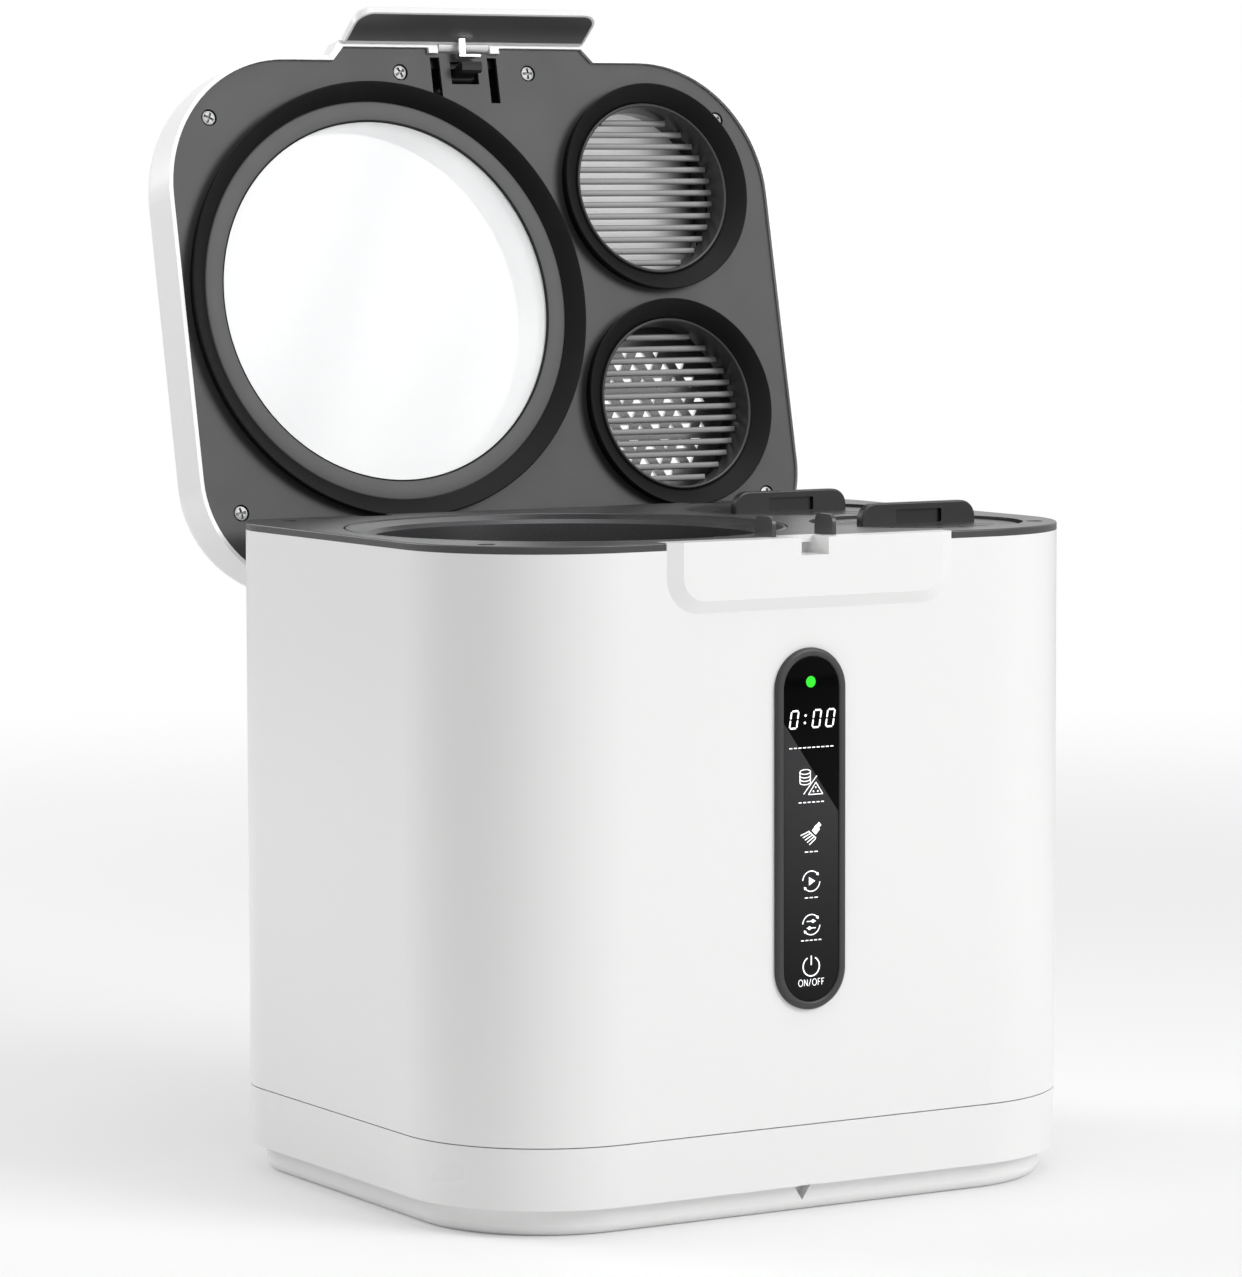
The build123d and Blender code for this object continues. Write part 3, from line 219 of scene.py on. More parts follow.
def piece(name, finish, sheets, body, replaced=(), sharp=35):
    """One object from sheets in mm: poles merged, faces outwards, edges sharp past an angle."""
    points, faces, count = [], [], 0
    for p, q in sheets:
        points.append(p)
        faces.append(q + count)
        count += len(p)
    mesh = bpy.data.meshes.new(name)
    mesh.from_pydata((np.vstack(points) * MM).tolist(), [], np.vstack(faces).tolist())
    made = bmesh.new()
    made.from_mesh(mesh)
    bmesh.ops.remove_doubles(made, verts=made.verts, dist=1e-7)
    bmesh.ops.dissolve_degenerate(made, edges=made.edges, dist=1e-8)
    bmesh.ops.recalc_face_normals(made, faces=made.faces)
    made.to_mesh(mesh)
    made.free()
    mesh.polygons.foreach_set("use_smooth", np.ones(len(mesh.polygons), bool))
    mesh.set_sharp_from_angle(angle=math.radians(sharp))
    mesh.materials.append(finish.material)
    obj = bpy.data.objects.new(name, mesh)
    bpy.context.scene.collection.objects.link(obj)
    if body is None:
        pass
    else:
        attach(obj, body)
    if replaced:
        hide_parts(*replaced)
    return obj


HEAD_R, HEAD_H, SHANK_R = 3.5, 1.6, 1.5
CROSS_R, CROSS_W = 2.5, 0.55            # reach and half width of the cross


def cross_screw(length, turn):
    """Screw along -z, its face at z 0. Height over (radius, angle) is a shallow dome,
    less a cross that is deepest in the middle; then rim, side, shank and tip."""
    r = np.concatenate([np.linspace(0, 2.4, 17),
                        [2.8, 3.2, 3.42, HEAD_R, HEAD_R, SHANK_R, SHANK_R, 1.45, 0.9, 0]])
    dome = -0.30 * (r[:20] / HEAD_R) ** 2
    z = np.concatenate([dome, [-0.55, -1.3, -HEAD_H, -length + 1.6, -length + 1.4,
                               -length + 0.3, -length]])
    angle = np.linspace(0, 2 * np.pi, 72, endpoint=False)
    u, v = r[:, None] * np.cos(angle + turn), r[:, None] * np.sin(angle + turn)
    arm = (np.minimum(abs(u), abs(v)) < CROSS_W) & (r[:, None] < CROSS_R)
    depth = 1.2 * np.sqrt(np.clip(1 - r[:, None] / (CROSS_R + 0.15), 0, 1)) + 0.12
    spin = np.stack([r[:, None] * np.cos(angle), r[:, None] * np.sin(angle),
                     z[:, None] - arm * depth], axis=-1)
    return sheet(spin, round_v=True)


OPEN = math.radians(102.17)             # how far the lid stands open at rest
HINGE_Y, HINGE_Z = 120.3, 299.2


def opened(points):
    """Turns points made for the shut lid about the hinge to where it rests open."""
    p = np.array(points, float)
    y, z = p[..., 1] - HINGE_Y, p[..., 2] - HINGE_Z
    p[..., 1] = HINGE_Y + y * math.cos(OPEN) + z * math.sin(OPEN)
    p[..., 2] = HINGE_Z - y * math.sin(OPEN) + z * math.cos(OPEN)
    return p


zinc = Finish("zinc_steel", (0.20, 0.203, 0.206), 0.34, Metallic=1.0)
zinc.mottle(zinc.noise(2.5, 4), 0.15)
zinc.set(Roughness=0.28 + 0.2 * zinc.noise(0.8, 3))
zinc.emboss(zinc.noise(0.6, 2), 0.008)

SCREW_SETS = {                          # face height, length, points up, body, places
    "base_screws": (10.2, 48, False, "cabinet", [(x, y) for x in (-150, 150) for y in (-52, 52)]),
    "deck_screws": (317.2, 40, True, "cabinet", [(-152, -98), (152, -98), (-150, 101), (150, 101)]),
    "lid_screws": (319.6, 14, False, "lid", [(-37.4, -127.6), (37.4, -127.6), (-148.5, -103.5),
                                             (148.5, -103.5), (-153.6, 95.8), (153.6, 95.8)])}
FIRST_TURN, NEXT_TURN = 0.5, 1.1        # no two crosses are driven home alike
for name, (face, length, upward, body, places) in SCREW_SETS.items():
    made = []
    for number, (x, y) in enumerate(places):
        points, quads = cross_screw(length, FIRST_TURN + NEXT_TURN * number)
        points = points * (1, 1, 1 if upward else -1) + (x, y, face)
        made.append((opened(points) if body == "lid" else points, quads))
    piece("cross_" + name, zinc, made, body, [name], sharp=40)


# ---- gearbox ---------------------------------------------------------------
# A glass-filled nylon case hangs under the pot. In it a two-stage spur train
# turns the stirring rotor slowly, through a jaw clutch of cast alloy.

casing = Finish("housing_plastic", (0.045, 0.045, 0.047), 0.48)
casing.mottle(casing.noise(9, 5, (1, 1, 0.3)), 0.22)
casing.emboss(casing.noise(0.7, 3), 0.03)
dress(casing, "gearbox_base", "gearbox_cover", "filter_wells", "air_plenum")

nylon = Finish("gear_nylon", (0.71, 0.69, 0.60), 0.38, Subsurface_Weight=0.15,
               Subsurface_Radius=(0.002, 0.002, 0.0015), Subsurface_Scale=1.0)
nylon.mottle(nylon.noise(6, 3), 0.04)
nylon.emboss(nylon.noise(0.5, 2), 0.01)
dress(nylon, "output_gear", "idler_gear")

bronze = Finish("sinter_bronze", (0.42, 0.26, 0.12), 0.42, Metallic=1.0)
bronze.mottle(bronze.cells(0.35), 0.3)
bronze.emboss(bronze.cells(0.35), 0.02)
dress(bronze, "output_bearing", "bucket_bush", "motor_pinion")

ground = Finish("spring_steel", (0.52, 0.53, 0.54), 0.24, Metallic=1.0)
ground.mottle(ground.noise(0.5, 3, (0.04, 1, 1)), 0.08)
ground.emboss(ground.noise(0.3, 2, (0.03, 1, 1)), 0.004)
dress(ground, "idler_pin", "output_shaft", "hinge_pins", "latch_pins", "touch_pads")

cast = Finish("cast_rotor", (0.42, 0.42, 0.43), 0.38, Metallic=1.0)
cast.mottle(cast.noise(5, 5), 0.10)
cast.set(Roughness=0.3 + 0.25 * cast.noise(3, 4))
cast.emboss(cast.noise(1.2, 4), 0.05)
dress(cast, "rotor", "drive_dog")


# ---- motor, fan, mains board and inlet -------------------------------------
# A can motor drives the train from below. A box fan draws air down through the
# filters, and one board on posts feeds motor, fan and heater from the inlet.

can = Finish("motor_steel", (0.50, 0.51, 0.52), 0.30, Metallic=1.0)
can.mottle(can.noise(1.2, 3, (1, 1, 0.05)), 0.10)
can.emboss(can.noise(0.9, 2, (1, 1, 0.04)), 0.01)
dress(can, "drive_motor")


def moulded(name, colour, roughness, grain=0.5, depth=0.02, specular=0.3):
    """Spark-eroded moulding: fine pits, a faint cloudiness in colour and sheen."""
    f = Finish(name, colour, roughness, Specular_IOR_Level=specular)
    f.mottle(f.noise(35, 4), 0.06)
    f.set(Roughness=roughness - 0.04 + 0.08 * f.noise(20, 3))
    return f.emboss(f.noise(grain, 3), depth)


dress(moulded("fan_black", (0.02, 0.02, 0.021), 0.4), "fan_frame", "fan_impeller")
dress(moulded("inlet_black", (0.012, 0.012, 0.012), 0.42), "power_inlet")
nickel = Finish("nickel_pins", (0.70, 0.68, 0.62), 0.18, Metallic=1.0)
nickel.mottle(nickel.noise(1.5, 3), 0.06)
dress(nickel, "inlet_pins")

board = Finish("circuit_board", (0.015, 0.12, 0.045), 0.3, Coat_Weight=0.5, Coat_Roughness=0.1)
wander = 5 * board.noise(9, 0)
lanes = (board.axis("X") * 0.42 + wander).sine() > 0.55
board.tint(lanes * board.noise(24, 0).step(0.45, 0.5), (0.04, 0.22, 0.09))
board.tint(board.cells(2.6).step(0.14, 0.11), (0.5, 0.5, 0.49))
board.emboss(lanes, 0.03)
dress(board, "display_board", "power_board")


# ---- heated pot ------------------------------------------------------------
# A spun aluminium pot hangs from the deck round the bucket. A mica band heater
# in a steel sleeve is clamped round its wall.

spun = Finish("spun_aluminium", (0.72, 0.73, 0.74), 0.3, Metallic=1.0)
spun.mottle(spun.noise(0.9, 3, (0.05, 0.05, 1)), 0.10)
spun.emboss(spun.noise(0.7, 3, (0.04, 0.04, 1)), 0.015)
dress(spun, "heater_pot")

band = Finish("band_steel", (0.45, 0.43, 0.40), 0.36, Metallic=1.0)
band.tint(band.noise(30, 4).step(0.45, 0.75), (0.30, 0.24, 0.21))
band.emboss(band.noise(1.1, 3), 0.03)
dress(band, "heater_band", "hinge_brackets")


# ---- outer shell and latch block -------------------------------------------
# The cabinet is one deep white moulding. The block on its front is a second
# one, clipped over the rim, with the bridge that the lid's hook catches.

dress(white, "outer_shell", "latch_block")


# ---- deck ------------------------------------------------------------------
# The dark deck drops into the shell and hides its edge. Its face has the fine
# grain of the mould and shines when it is looked at along.

dress(moulded("dark_deck", (0.042, 0.042, 0.044), 0.34, specular=0.5), "deck_frame")


# ---- control panel ---------------------------------------------------------
# A satin bezel stands a little proud of the front and holds a strip of black
# glass. Behind the glass are the touch springs, a display and a green lamp.

PANEL_X, FRONT_Y = -1.2, -134.5         # the panel's upright middle line, the front's face
GLASS_Y, GLASS_T, GLASS_HW, GLASS_Z0, GLASS_Z1 = -136.4, 3.6, 15.2, 100.6, 262.1
BEZEL_HW, BEZEL_Z0, BEZEL_Z1 = 19.2, 96.6, 266.1


def stadium(profile, half_width, low, high, per_end=40):
    """Upright stadium rings in a front view: every point is a centre on the upright
    middle line plus (half width less inset) along the end's angle; y from the profile."""
    angle = np.linspace(0, np.pi, per_end)
    angle = np.concatenate([angle, angle + np.pi])
    middle = np.where(np.arange(2 * per_end) < per_end, high - half_width, low + half_width)
    inset, y = np.array(profile, float).T
    r = (half_width - inset)[:, None]
    return np.stack([PANEL_X + r * np.cos(angle), y[:, None] + 0 * angle,
                     middle + r * np.sin(angle)], axis=-1)


# inset from the bezel's outline, and how far behind the front's face
BEZEL_EDGE = [(3.9, 3.3), (3.9, -1.9), (3.75, -2.3), (3.4, -2.55), (2.8, -2.6), (1.7, -2.6),
              (0.95, -2.45), (0.35, -2.0), (0.08, -1.4), (0, 0), (2.9, 0), (2.9, 9), (3.9, 9)]
bezel_loop = [(inset, FRONT_Y + behind) for inset, behind in BEZEL_EDGE]
trim = moulded("dark_trim", (0.042, 0.042, 0.044), 0.38, depth=0.008, specular=0.35)
piece("bezel_ring", trim, [sheet(stadium(bezel_loop, BEZEL_HW, BEZEL_Z0, BEZEL_Z1), True, True)],
      "cabinet", ["panel_bezel"])

# a painted reflection makes the glass a shade lighter below a slanting line, fading towards its
# foot
SLANT_Z, SLANT_SLOPE, FOOT_Z, HEAD_Z = 210, 1.42, 90, 235
panel_black = Finish("panel_glass", (0.0008, 0.0008, 0.001), 0.08, Specular_IOR_Level=0.05)
slant = panel_black.axis("Z") - SLANT_Z + SLANT_SLOPE * (panel_black.axis("X") - PANEL_X)
painted_reflection = slant.step(0.25, -0.25) * (0.25 + 0.75 * panel_black.axis("Z").step(FOOT_Z, HEAD_Z))
panel_black.tint(painted_reflection, (0.045, 0.045, 0.047))
panel_black.set(Roughness=0.06 + 0.05 * panel_black.noise(30, 3))
pane_rows = [(GLASS_HW, GLASS_Y), (0.6, GLASS_Y), (0.15, GLASS_Y + 0.12), (0, GLASS_Y + 0.4),
             (0, GLASS_Y + GLASS_T - 0.1), (0.3, GLASS_Y + GLASS_T), (GLASS_HW, GLASS_Y + GLASS_T)]
pane_grid = stadium(pane_rows, GLASS_HW, GLASS_Z0, GLASS_Z1)
piece("panel_pane", panel_black, [sheet(pane_grid, round_v=True)], "cabinet", ["panel_glass"])
dress(moulded("display_black", (0.006, 0.006, 0.006), 0.5), "display_module")


# ---- panel marks -----------------------------------------------------------
# Digits, symbols and rows of dashes are thin white films bonded to the glass
# and lit from behind. The green lamp is a small clear dome above them.

FILM, SUNK = 0.05, 0.02                 # the film's thickness, and how deep it is bedded
film_white = Finish("panel_glass_marks", (0.9, 0.9, 0.9), 0.4, Emission_Strength=0.75)
film_white.set(Emission_Color=film_white.node("Mix", {"data_type": "RGBA"}, out=2,
               _0=film_white.noise(0.8, 1), _6=(1, 1, 1, 1), _7=(0.9, 0.93, 0.96, 1)))
film_white.slot = "panel_glass"


def ribbon(points, width, closed=False):
    """Flat film along a path: each point of the path moves half a width to both sides
    along the path's normal, and the section between them is FILM thick. Open ends are
    closed onto the path's own end point."""
    path, half = np.array(points, float), np.array(width, float) / 2
    if closed:
        along = np.roll(path, -1, axis=0) - np.roll(path, 1, axis=0)
    else:
        along = np.gradient(path, axis=0)
    along /= np.linalg.norm(along, axis=1)[:, None]
    side = np.stack([-along[:, 1], along[:, 0]], axis=1) * (half * np.ones(len(path)))[:, None]
    left, right = path + side, path - side
    front, back = GLASS_Y - FILM, GLASS_Y + SUNK

    def at(p, y):
        return np.stack([PANEL_X + p[:, 0], y + 0 * p[:, 0], p[:, 1]], axis=-1)

    grid = np.stack([at(left, front), at(right, front), at(right, back), at(left, back)], axis=1)
    if not closed:
        ends = [np.repeat(g.mean(axis=0)[None], 4, axis=0)[None] for g in (grid[0], grid[-1])]
        grid = np.concatenate([ends[0], grid, ends[1]])
    return sheet(grid, round_u=closed, round_v=True)


def arc(centre, radius, start, stop, count=28, squash=1.0):
    """Points on a circle or ellipse about centre, between two angles in degrees."""
    a = np.radians(np.linspace(start, stop, count))
    return np.stack([centre[0] + radius * np.cos(a),
                     centre[1] + squash * radius * np.sin(a)], axis=1)


def dot(centre, radius):
    """Filled disc: a short ribbon whose width follows the circle's chord."""
    x = np.cos(np.linspace(np.pi, 0, 14))
    return ribbon(np.stack([centre[0] + radius * x, centre[1] + 0 * x], axis=1),
                  2 * radius * np.sqrt(np.clip(1 - x * x, 1e-4, 1)))


def digit(left, low, lit):
    """Pointed bars of a slanted digit. lit names them, clockwise from the top, then the
    middle: each runs between two of six corners, whose x grows with their height."""
    wide, tall, lean, bar, gap = 3.9, 8.0, 0.16, 0.82, 0.2
    corners = {"a": ((0, 2), (1, 2)), "b": ((1, 2), (1, 1)), "c": ((1, 1), (1, 0)),
               "d": ((1, 0), (0, 0)), "e": ((0, 0), (0, 1)), "f": ((0, 1), (0, 2)),
               "g": ((0, 1), (1, 1))}
    made = []
    for key in lit:
        p, q = [np.array([left + 0.6 + c[0] * wide + lean * c[1] * tall / 2,
                          low + 0.6 + c[1] * tall / 2]) for c in corners[key]]
        way = (q - p) / np.linalg.norm(q - p)
        p, q = p + gap * way, q - gap * way
        stops = [p, p + 0.5 * bar * way, q - 0.5 * bar * way, q]
        made.append(ribbon(stops, [0.02, bar, bar, 0.02]))
    return made


# the display: three noughts and a colon
DIGIT_Z, ZERO = 228.3, "abcdef"
marks = digit(-12.7, DIGIT_Z, ZERO) + digit(-0.2, DIGIT_Z, ZERO) + digit(7.3, DIGIT_Z, ZERO)
marks += [dot((-3.2, 234.6), 0.6), dot((-3.6, 231.2), 0.6)]

# rows of dashes: height and half length of each
DASH_ROWS = ((219.6, 12.6), (194.0, 7.4), (170.8, 4.0), (149.3, 4.0), (129.3, 6.0))
DASH_W, DASH_TRIM = 0.5, 0.42
for z, reach in DASH_ROWS:
    stops = np.linspace(-reach, reach, round(reach / 1.25) + 1)
    marks += [ribbon([(p + DASH_TRIM, z), (q - DASH_TRIM, z)], DASH_W)
              for p, q in zip(stops[:-1], stops[1:])]

# the canister, the divider and the heap of grains
CAN_X, CAN_R, CAN_FLAT, LINE_W = -3.4, 2.9, 0.38, 0.42
marks += [ribbon(arc((CAN_X, 208.3), CAN_R, 0, 360, 40, CAN_FLAT)[:-1], LINE_W, closed=True)]
marks += [ribbon(arc((CAN_X, z), CAN_R, 180, 360, 20, CAN_FLAT), LINE_W)
          for z in (206.6, 205.0, 203.4)]
marks += [ribbon([(x, 208.3), (x, 203.4)], LINE_W) for x in (-6.3, -0.5)]
marks += [ribbon([(-4.3, 197.9), (3.0, 206.2)], LINE_W),
          ribbon([(2.5, 203.2), (6.3, 197.6)], LINE_W),
          ribbon([(6.3, 197.6), (-1.6, 197.6)], LINE_W),
          ribbon([(-1.6, 197.6), (2.5, 203.2)], LINE_W)]
marks += [dot(p, LINE_W) for p in ((2.4, 200.8), (1.2, 199.0), (3.6, 199.0))]

# the brush: handle, ferrule, five bristles that fan out
marks += [ribbon([(2.2, 181.4), (4.9, 183.7)], 2.0), ribbon([(-1.6, 180.6), (2.6, 177.0)], 0.5),
          ribbon([(1.4, 181.9), (3.6, 179.9)], 3.4)]
marks += [ribbon([(-1.6 + 0.98 * k, 180.2 - 0.86 * k), (-5.9 + 1.2 * k, 178.7 - 1.15 * k)], 0.5)
          for k in range(5)]


def circling_arrows(z):
    """Two arcs of a ring with a gap after each, and a pointed head at each leading end."""
    ring_r, made = 4.75, []
    for start in (35, 215):
        made.append(ribbon(arc((0, z), ring_r, start, start + 140), 0.5))
        tip = arc((0, z), ring_r, start - 3, start - 3, 1)[0]
        root = arc((0, z), ring_r, start + 13, start + 13, 1)[0]
        made.append(ribbon([root, tip], [1.7, 0.05]))
    return made


# the ring with a play mark, the ring with two sliders, and the power symbol
PLAY_Z, SLIDER_RING_Z, POWER_Z, POWER_W = 157.0, 136.6, 117.0, 0.62
marks += circling_arrows(PLAY_Z) + [ribbon([(-1.3, PLAY_Z), (2.1, PLAY_Z)], [4.0, 0.05])]
marks += circling_arrows(SLIDER_RING_Z)
marks += [ribbon([(-2.5, z), (2.5, z)], 0.45) for z in (138.2, 135.0)]
marks += [dot((1.0, 138.2), 0.85), dot((-1.0, 135.0), 0.85)]
marks += [ribbon(arc((0, POWER_Z), 4.5, 118, 422, 50), POWER_W),
          ribbon([(0, 122.0), (0, 117.6)], POWER_W)]

# ON/OFF: letters 3 mm high from single strokes, in units of the letter's width and height
STROKES = {"N": [[(0, 0), (0, 1)], [(0, 1), (1, 0)], [(1, 0), (1, 1)]],
           "/": [[(0, -0.05), (1, 1.05)]],
           "F": [[(0, 0), (0, 1)], [(0, 1), (1, 1)], [(0, 0.52), (0.85, 0.52)]]}
WIDTHS = {"O": 2.3, "N": 1.7, "/": 1.1, "F": 1.2}
LETTER_Z, LETTER_H, LETTER_GAP, STROKE_W = 108.0, 3.0, 0.85, 0.3
pen = -7.0
for letter in "ON/OFF":
    wide = WIDTHS[letter]
    if letter == "O":
        ring = (arc((0, 0), 1.0, 0, 360, 30)[:-1] * (wide / 2, 1.55)
                + (pen + wide / 2, LETTER_Z + LETTER_H / 2))
        marks.append(ribbon(ring, STROKE_W, closed=True))
    else:
        marks += [ribbon([(pen + wide * x, LETTER_Z + LETTER_H * z) for x, z in stroke], STROKE_W)
                  for stroke in STROKES[letter]]
    pen += wide + LETTER_GAP
piece("panel_symbols", film_white, marks, "cabinet")

LAMP_X, LAMP_Z = PANEL_X - 0.3, 250.2
lamp_green = Finish("led_green", (0.005, 0.3, 0.008), 0.3,
                    Emission_Strength=0.85, Specular_IOR_Level=0.2)
lamp_green.set(Emission_Color=lamp_green.node(
    "Mix", {"data_type": "RGBA"}, out=2, _0=lamp_green.noise(1.5, 1),
    _6=(0.03, 0.82, 0.03, 1), _7=(0.05, 0.75, 0.04, 1)))
angle = np.linspace(0, 2 * np.pi, 48, endpoint=False)
# radius and height over the glass, carried round the lamp's centre
bulge = np.array([(0, 0.16), (1.2, 0.14), (2.0, 0.1), (2.5, 0.04), (2.7, -0.02), (0, -0.02)])
dome = np.stack([LAMP_X + bulge[:, :1] * np.cos(angle), GLASS_Y - bulge[:, 1:] + 0 * angle,
                 LAMP_Z + bulge[:, :1] * np.sin(angle)], axis=-1)
piece("status_dome", lamp_green, [sheet(dome, round_v=True)], "cabinet")
dress(lamp_green, "led_lens")


# ---- hinge arms, lid shell and liner ---------------------------------------
# The lid is a white shell on two dark steel arms. Its grey liner is screwed in
# from below and leaves a thin white edge all round.

arms = moulded("dark_arms", (0.03, 0.03, 0.032), 0.4, depth=0.03, specular=0.4)
dress(arms, "hinge_arms")


def depth_in_lid(finish):
    """Height in mm that the point has when the lid is shut, from its turned y and z."""
    return (HINGE_Z + (finish.axis("Y") - HINGE_Y) * math.sin(OPEN)
            + (finish.axis("Z") - HINGE_Z) * math.cos(OPEN))


# painted shade darkens the inner side of the wall behind the rear vent
BUCKET_XY, VENT_XY = (-58.9, -9.8), {"front": (104.0, -67.0), "rear": (104.0, 47.0)}
TOP_INSIDE, SHADED_R, LINER_BACK = 349.2, 50, 320.9
shell_white = gloss_plastic("lid_white", (0.80, 0.80, 0.797))
inside = depth_in_lid(shell_white)
along_lid = (HINGE_Y + (shell_white.axis("Y") - HINGE_Y) * math.cos(OPEN)
             - (shell_white.axis("Z") - HINGE_Z) * math.sin(OPEN))
off_x, off_y = shell_white.axis("X") - VENT_XY["rear"][0], along_lid - VENT_XY["rear"][1]
near_vent = off_x * off_x + off_y * off_y < SHADED_R ** 2
# painted shade behind the rear vent
shell_white.tint((inside < TOP_INSIDE) * near_vent, (0.10, 0.10, 0.10))
dress(shell_white, "lid_shell")
liner = moulded("liner_grey", (0.050, 0.050, 0.052), 0.42, grain=0.6, depth=0.02)
# painted shade: the liner is near black more than 1.5 mm behind its face, in its slots and recesses
liner.tint(depth_in_lid(liner) > LINER_BACK, (0.004, 0.004, 0.004))
dress(liner, "lid_liner")


# ---- window ----------------------------------------------------------------
# A tempered pane sits in a thin black gasket under a grey ring, which is snapped
# into the liner. The ring's edges are rounded by the mould.

def lathe(profile, centre, count=192):
    """Profile of (radius, z) carried round the upright axis through centre."""
    turn = np.linspace(0, 2 * np.pi, count, endpoint=False)
    r, z = np.array(profile, float).T
    return np.stack([centre[0] + r[:, None] * np.cos(turn), centre[1] + r[:, None] * np.sin(turn),
                     z[:, None] + 0 * turn], axis=-1)


ring_loop = [(92.6, 319.5), (92.6, 318.75), (92.75, 318.5), (93.1, 318.4), (101.4, 318.4),
             (101.95, 318.5), (102.25, 318.8), (102.3, 319.4), (99.0, 319.4), (99.0, 323.6),
             (97.3, 323.6), (97.3, 319.5)]
frame_grey = moulded("frame_grey", (0.066, 0.066, 0.068), 0.42, grain=0.5, depth=0.015)
ring_grid = opened(lathe(ring_loop, BUCKET_XY))
piece("window_ring", frame_grey, [sheet(ring_grid, True, True)], "lid", ["window_frame"])
gasket_loop = [(91.8, 319.52), (91.8, 319.0), (92.0, 318.8), (92.4, 318.8), (92.58, 319.0),
               (92.58, 319.52)]
piece("window_gasket", rubber, [sheet(opened(lathe(gasket_loop, BUCKET_XY)), True, True)], "lid")

# faint painted reflection streaks run aslant across the glass
STREAK_RATE, STREAK_TILT = 0.04, 0.5
pane = Finish("clear_glass", (0.93, 0.94, 0.95), 0.04, IOR=1.45, Alpha=0.36)
slope = STREAK_RATE * (pane.axis("X") * math.cos(STREAK_TILT) - pane.axis("Z") * math.sin(STREAK_TILT))
painted_streaks = 0.5 + 0.3 * (slope * 2.1).sine() + 0.2 * slope.sine()
pane.tint(painted_streaks, (0.79, 0.80, 0.81))
disc = [(0, 319.55), (96.6, 319.55), (97.1, 320.0), (97.1, 323.0), (96.6, 323.4), (0, 323.4)]
disc_grid = opened(lathe(disc, BUCKET_XY))
piece("window_pane", pane, [sheet(disc_grid, round_v=True)], "lid", ["window_glass"])


# ---- seals -----------------------------------------------------------------
# Soft silicone lips are pressed into grooves of the liner, and seal on the bucket's rim and on the
# filter lids.

LINER_FACE = 319.4
WINDOW_LIP = [(102.4, 319.4), (102.4, 318.6), (105.0, 316.6), (110.4, 312.7), (111.0, 312.5),
              (111.6, 312.8), (111.5, 313.6), (110.6, 316.6), (110.1, 319.4)]
VENT_LIP = [(45, 319.4), (45, 319), (48.5, 316.2), (53.6, 312.6), (54.1, 312.4), (54.6, 312.8),
            (54.4, 314), (53.7, 317.0), (53.4, 319.4)]
for node, lip, centre in (("window_seal", WINDOW_LIP, BUCKET_XY),
                          ("vent_seal_front", VENT_LIP, VENT_XY["front"]),
                          ("vent_seal_rear", VENT_LIP, VENT_XY["rear"])):
    lip_grid = opened(lathe(lip, centre))
    seal = piece("soft_" + node, rubber, [sheet(lip_grid, True, True)], "lid", [node])
    tuple(opened([[*centre, LINER_FACE]])[0] * MM)
    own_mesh(seal)


# ---- vents and duct --------------------------------------------------------
# Each vent is a moulded sleeve with thirteen slats. Behind them a white duct carries the air across
# the lid, painted dark at its far side as shade.

SLATS, SLAT_PITCH, SLAT_W, SLAT_Z0, SLAT_Z1, SLAT_R = 13, 6.2, 3.0, 329.8, 333.0, 0.8
SLAT_REACH = 43.3                       # 0.1 into the sleeve, where the slats are moulded on
slats = moulded("slat_grey", (0.24, 0.24, 0.243), 0.36, specular=0.45)
sleeve = moulded("vent_sleeve", (0.04, 0.04, 0.041), 0.32, depth=0.008, specular=0.5)
sleeve.slot = "slat_grey"


def slat(centre, offset):
    """One slat: a rectangle with rounded corners carried along x, its length a chord of the
    sleeve's bore, closed at both ends."""
    half = math.sqrt(SLAT_REACH ** 2 - (abs(offset) + SLAT_W / 2) ** 2)
    a = np.radians(np.arange(0, 360, 15))
    y = SLAT_R * np.cos(a) + np.sign(np.cos(a)) * (SLAT_W / 2 - SLAT_R)
    z = SLAT_R * np.sin(a) + np.sign(np.sin(a)) * ((SLAT_Z1 - SLAT_Z0) / 2 - SLAT_R)
    keep = np.array([0.02, 1, 1, 0.02])[:, None]
    x = np.array([-half, -half, half, half])[:, None] + 0 * y
    grid = np.stack([centre[0] + x, centre[1] + offset + keep * y,
                     (SLAT_Z0 + SLAT_Z1) / 2 + keep * z], axis=-1)
    return sheet(opened(grid), round_v=True)


sleeve_loop = [(43.2, 334.2), (43.2, 319.2), (43.35, 318.2), (43.8, 317.65), (44.3, 317.5),
               (44.75, 317.75), (45.0, 318.4), (45.0, 319.4), (44.7, 319.4), (44.7, 334.2)]
for key, centre in VENT_XY.items():
    made = [slat(centre, SLAT_PITCH * (k - SLATS // 2)) for k in range(SLATS)]
    piece("vent_slats_" + key, slats, made, "lid", ["louvre_grille_" + key])
    sleeve_grid = opened(lathe(sleeve_loop, centre))
    piece("vent_sleeve_" + key, sleeve, [sheet(sleeve_grid, True, True)], "lid")

# where the painted shade begins and where it is at its full depth, on the duct and on its skin
DUCT_SHADE, SKIN_SHADE = (100, 138), (114, 147)
duct = gloss_plastic("duct_white", (0.82, 0.82, 0.815), 0.34)
duct.tint(duct.axis("X").step(*DUCT_SHADE), (0.012, 0.012, 0.012))
dress(duct, "lid_duct")
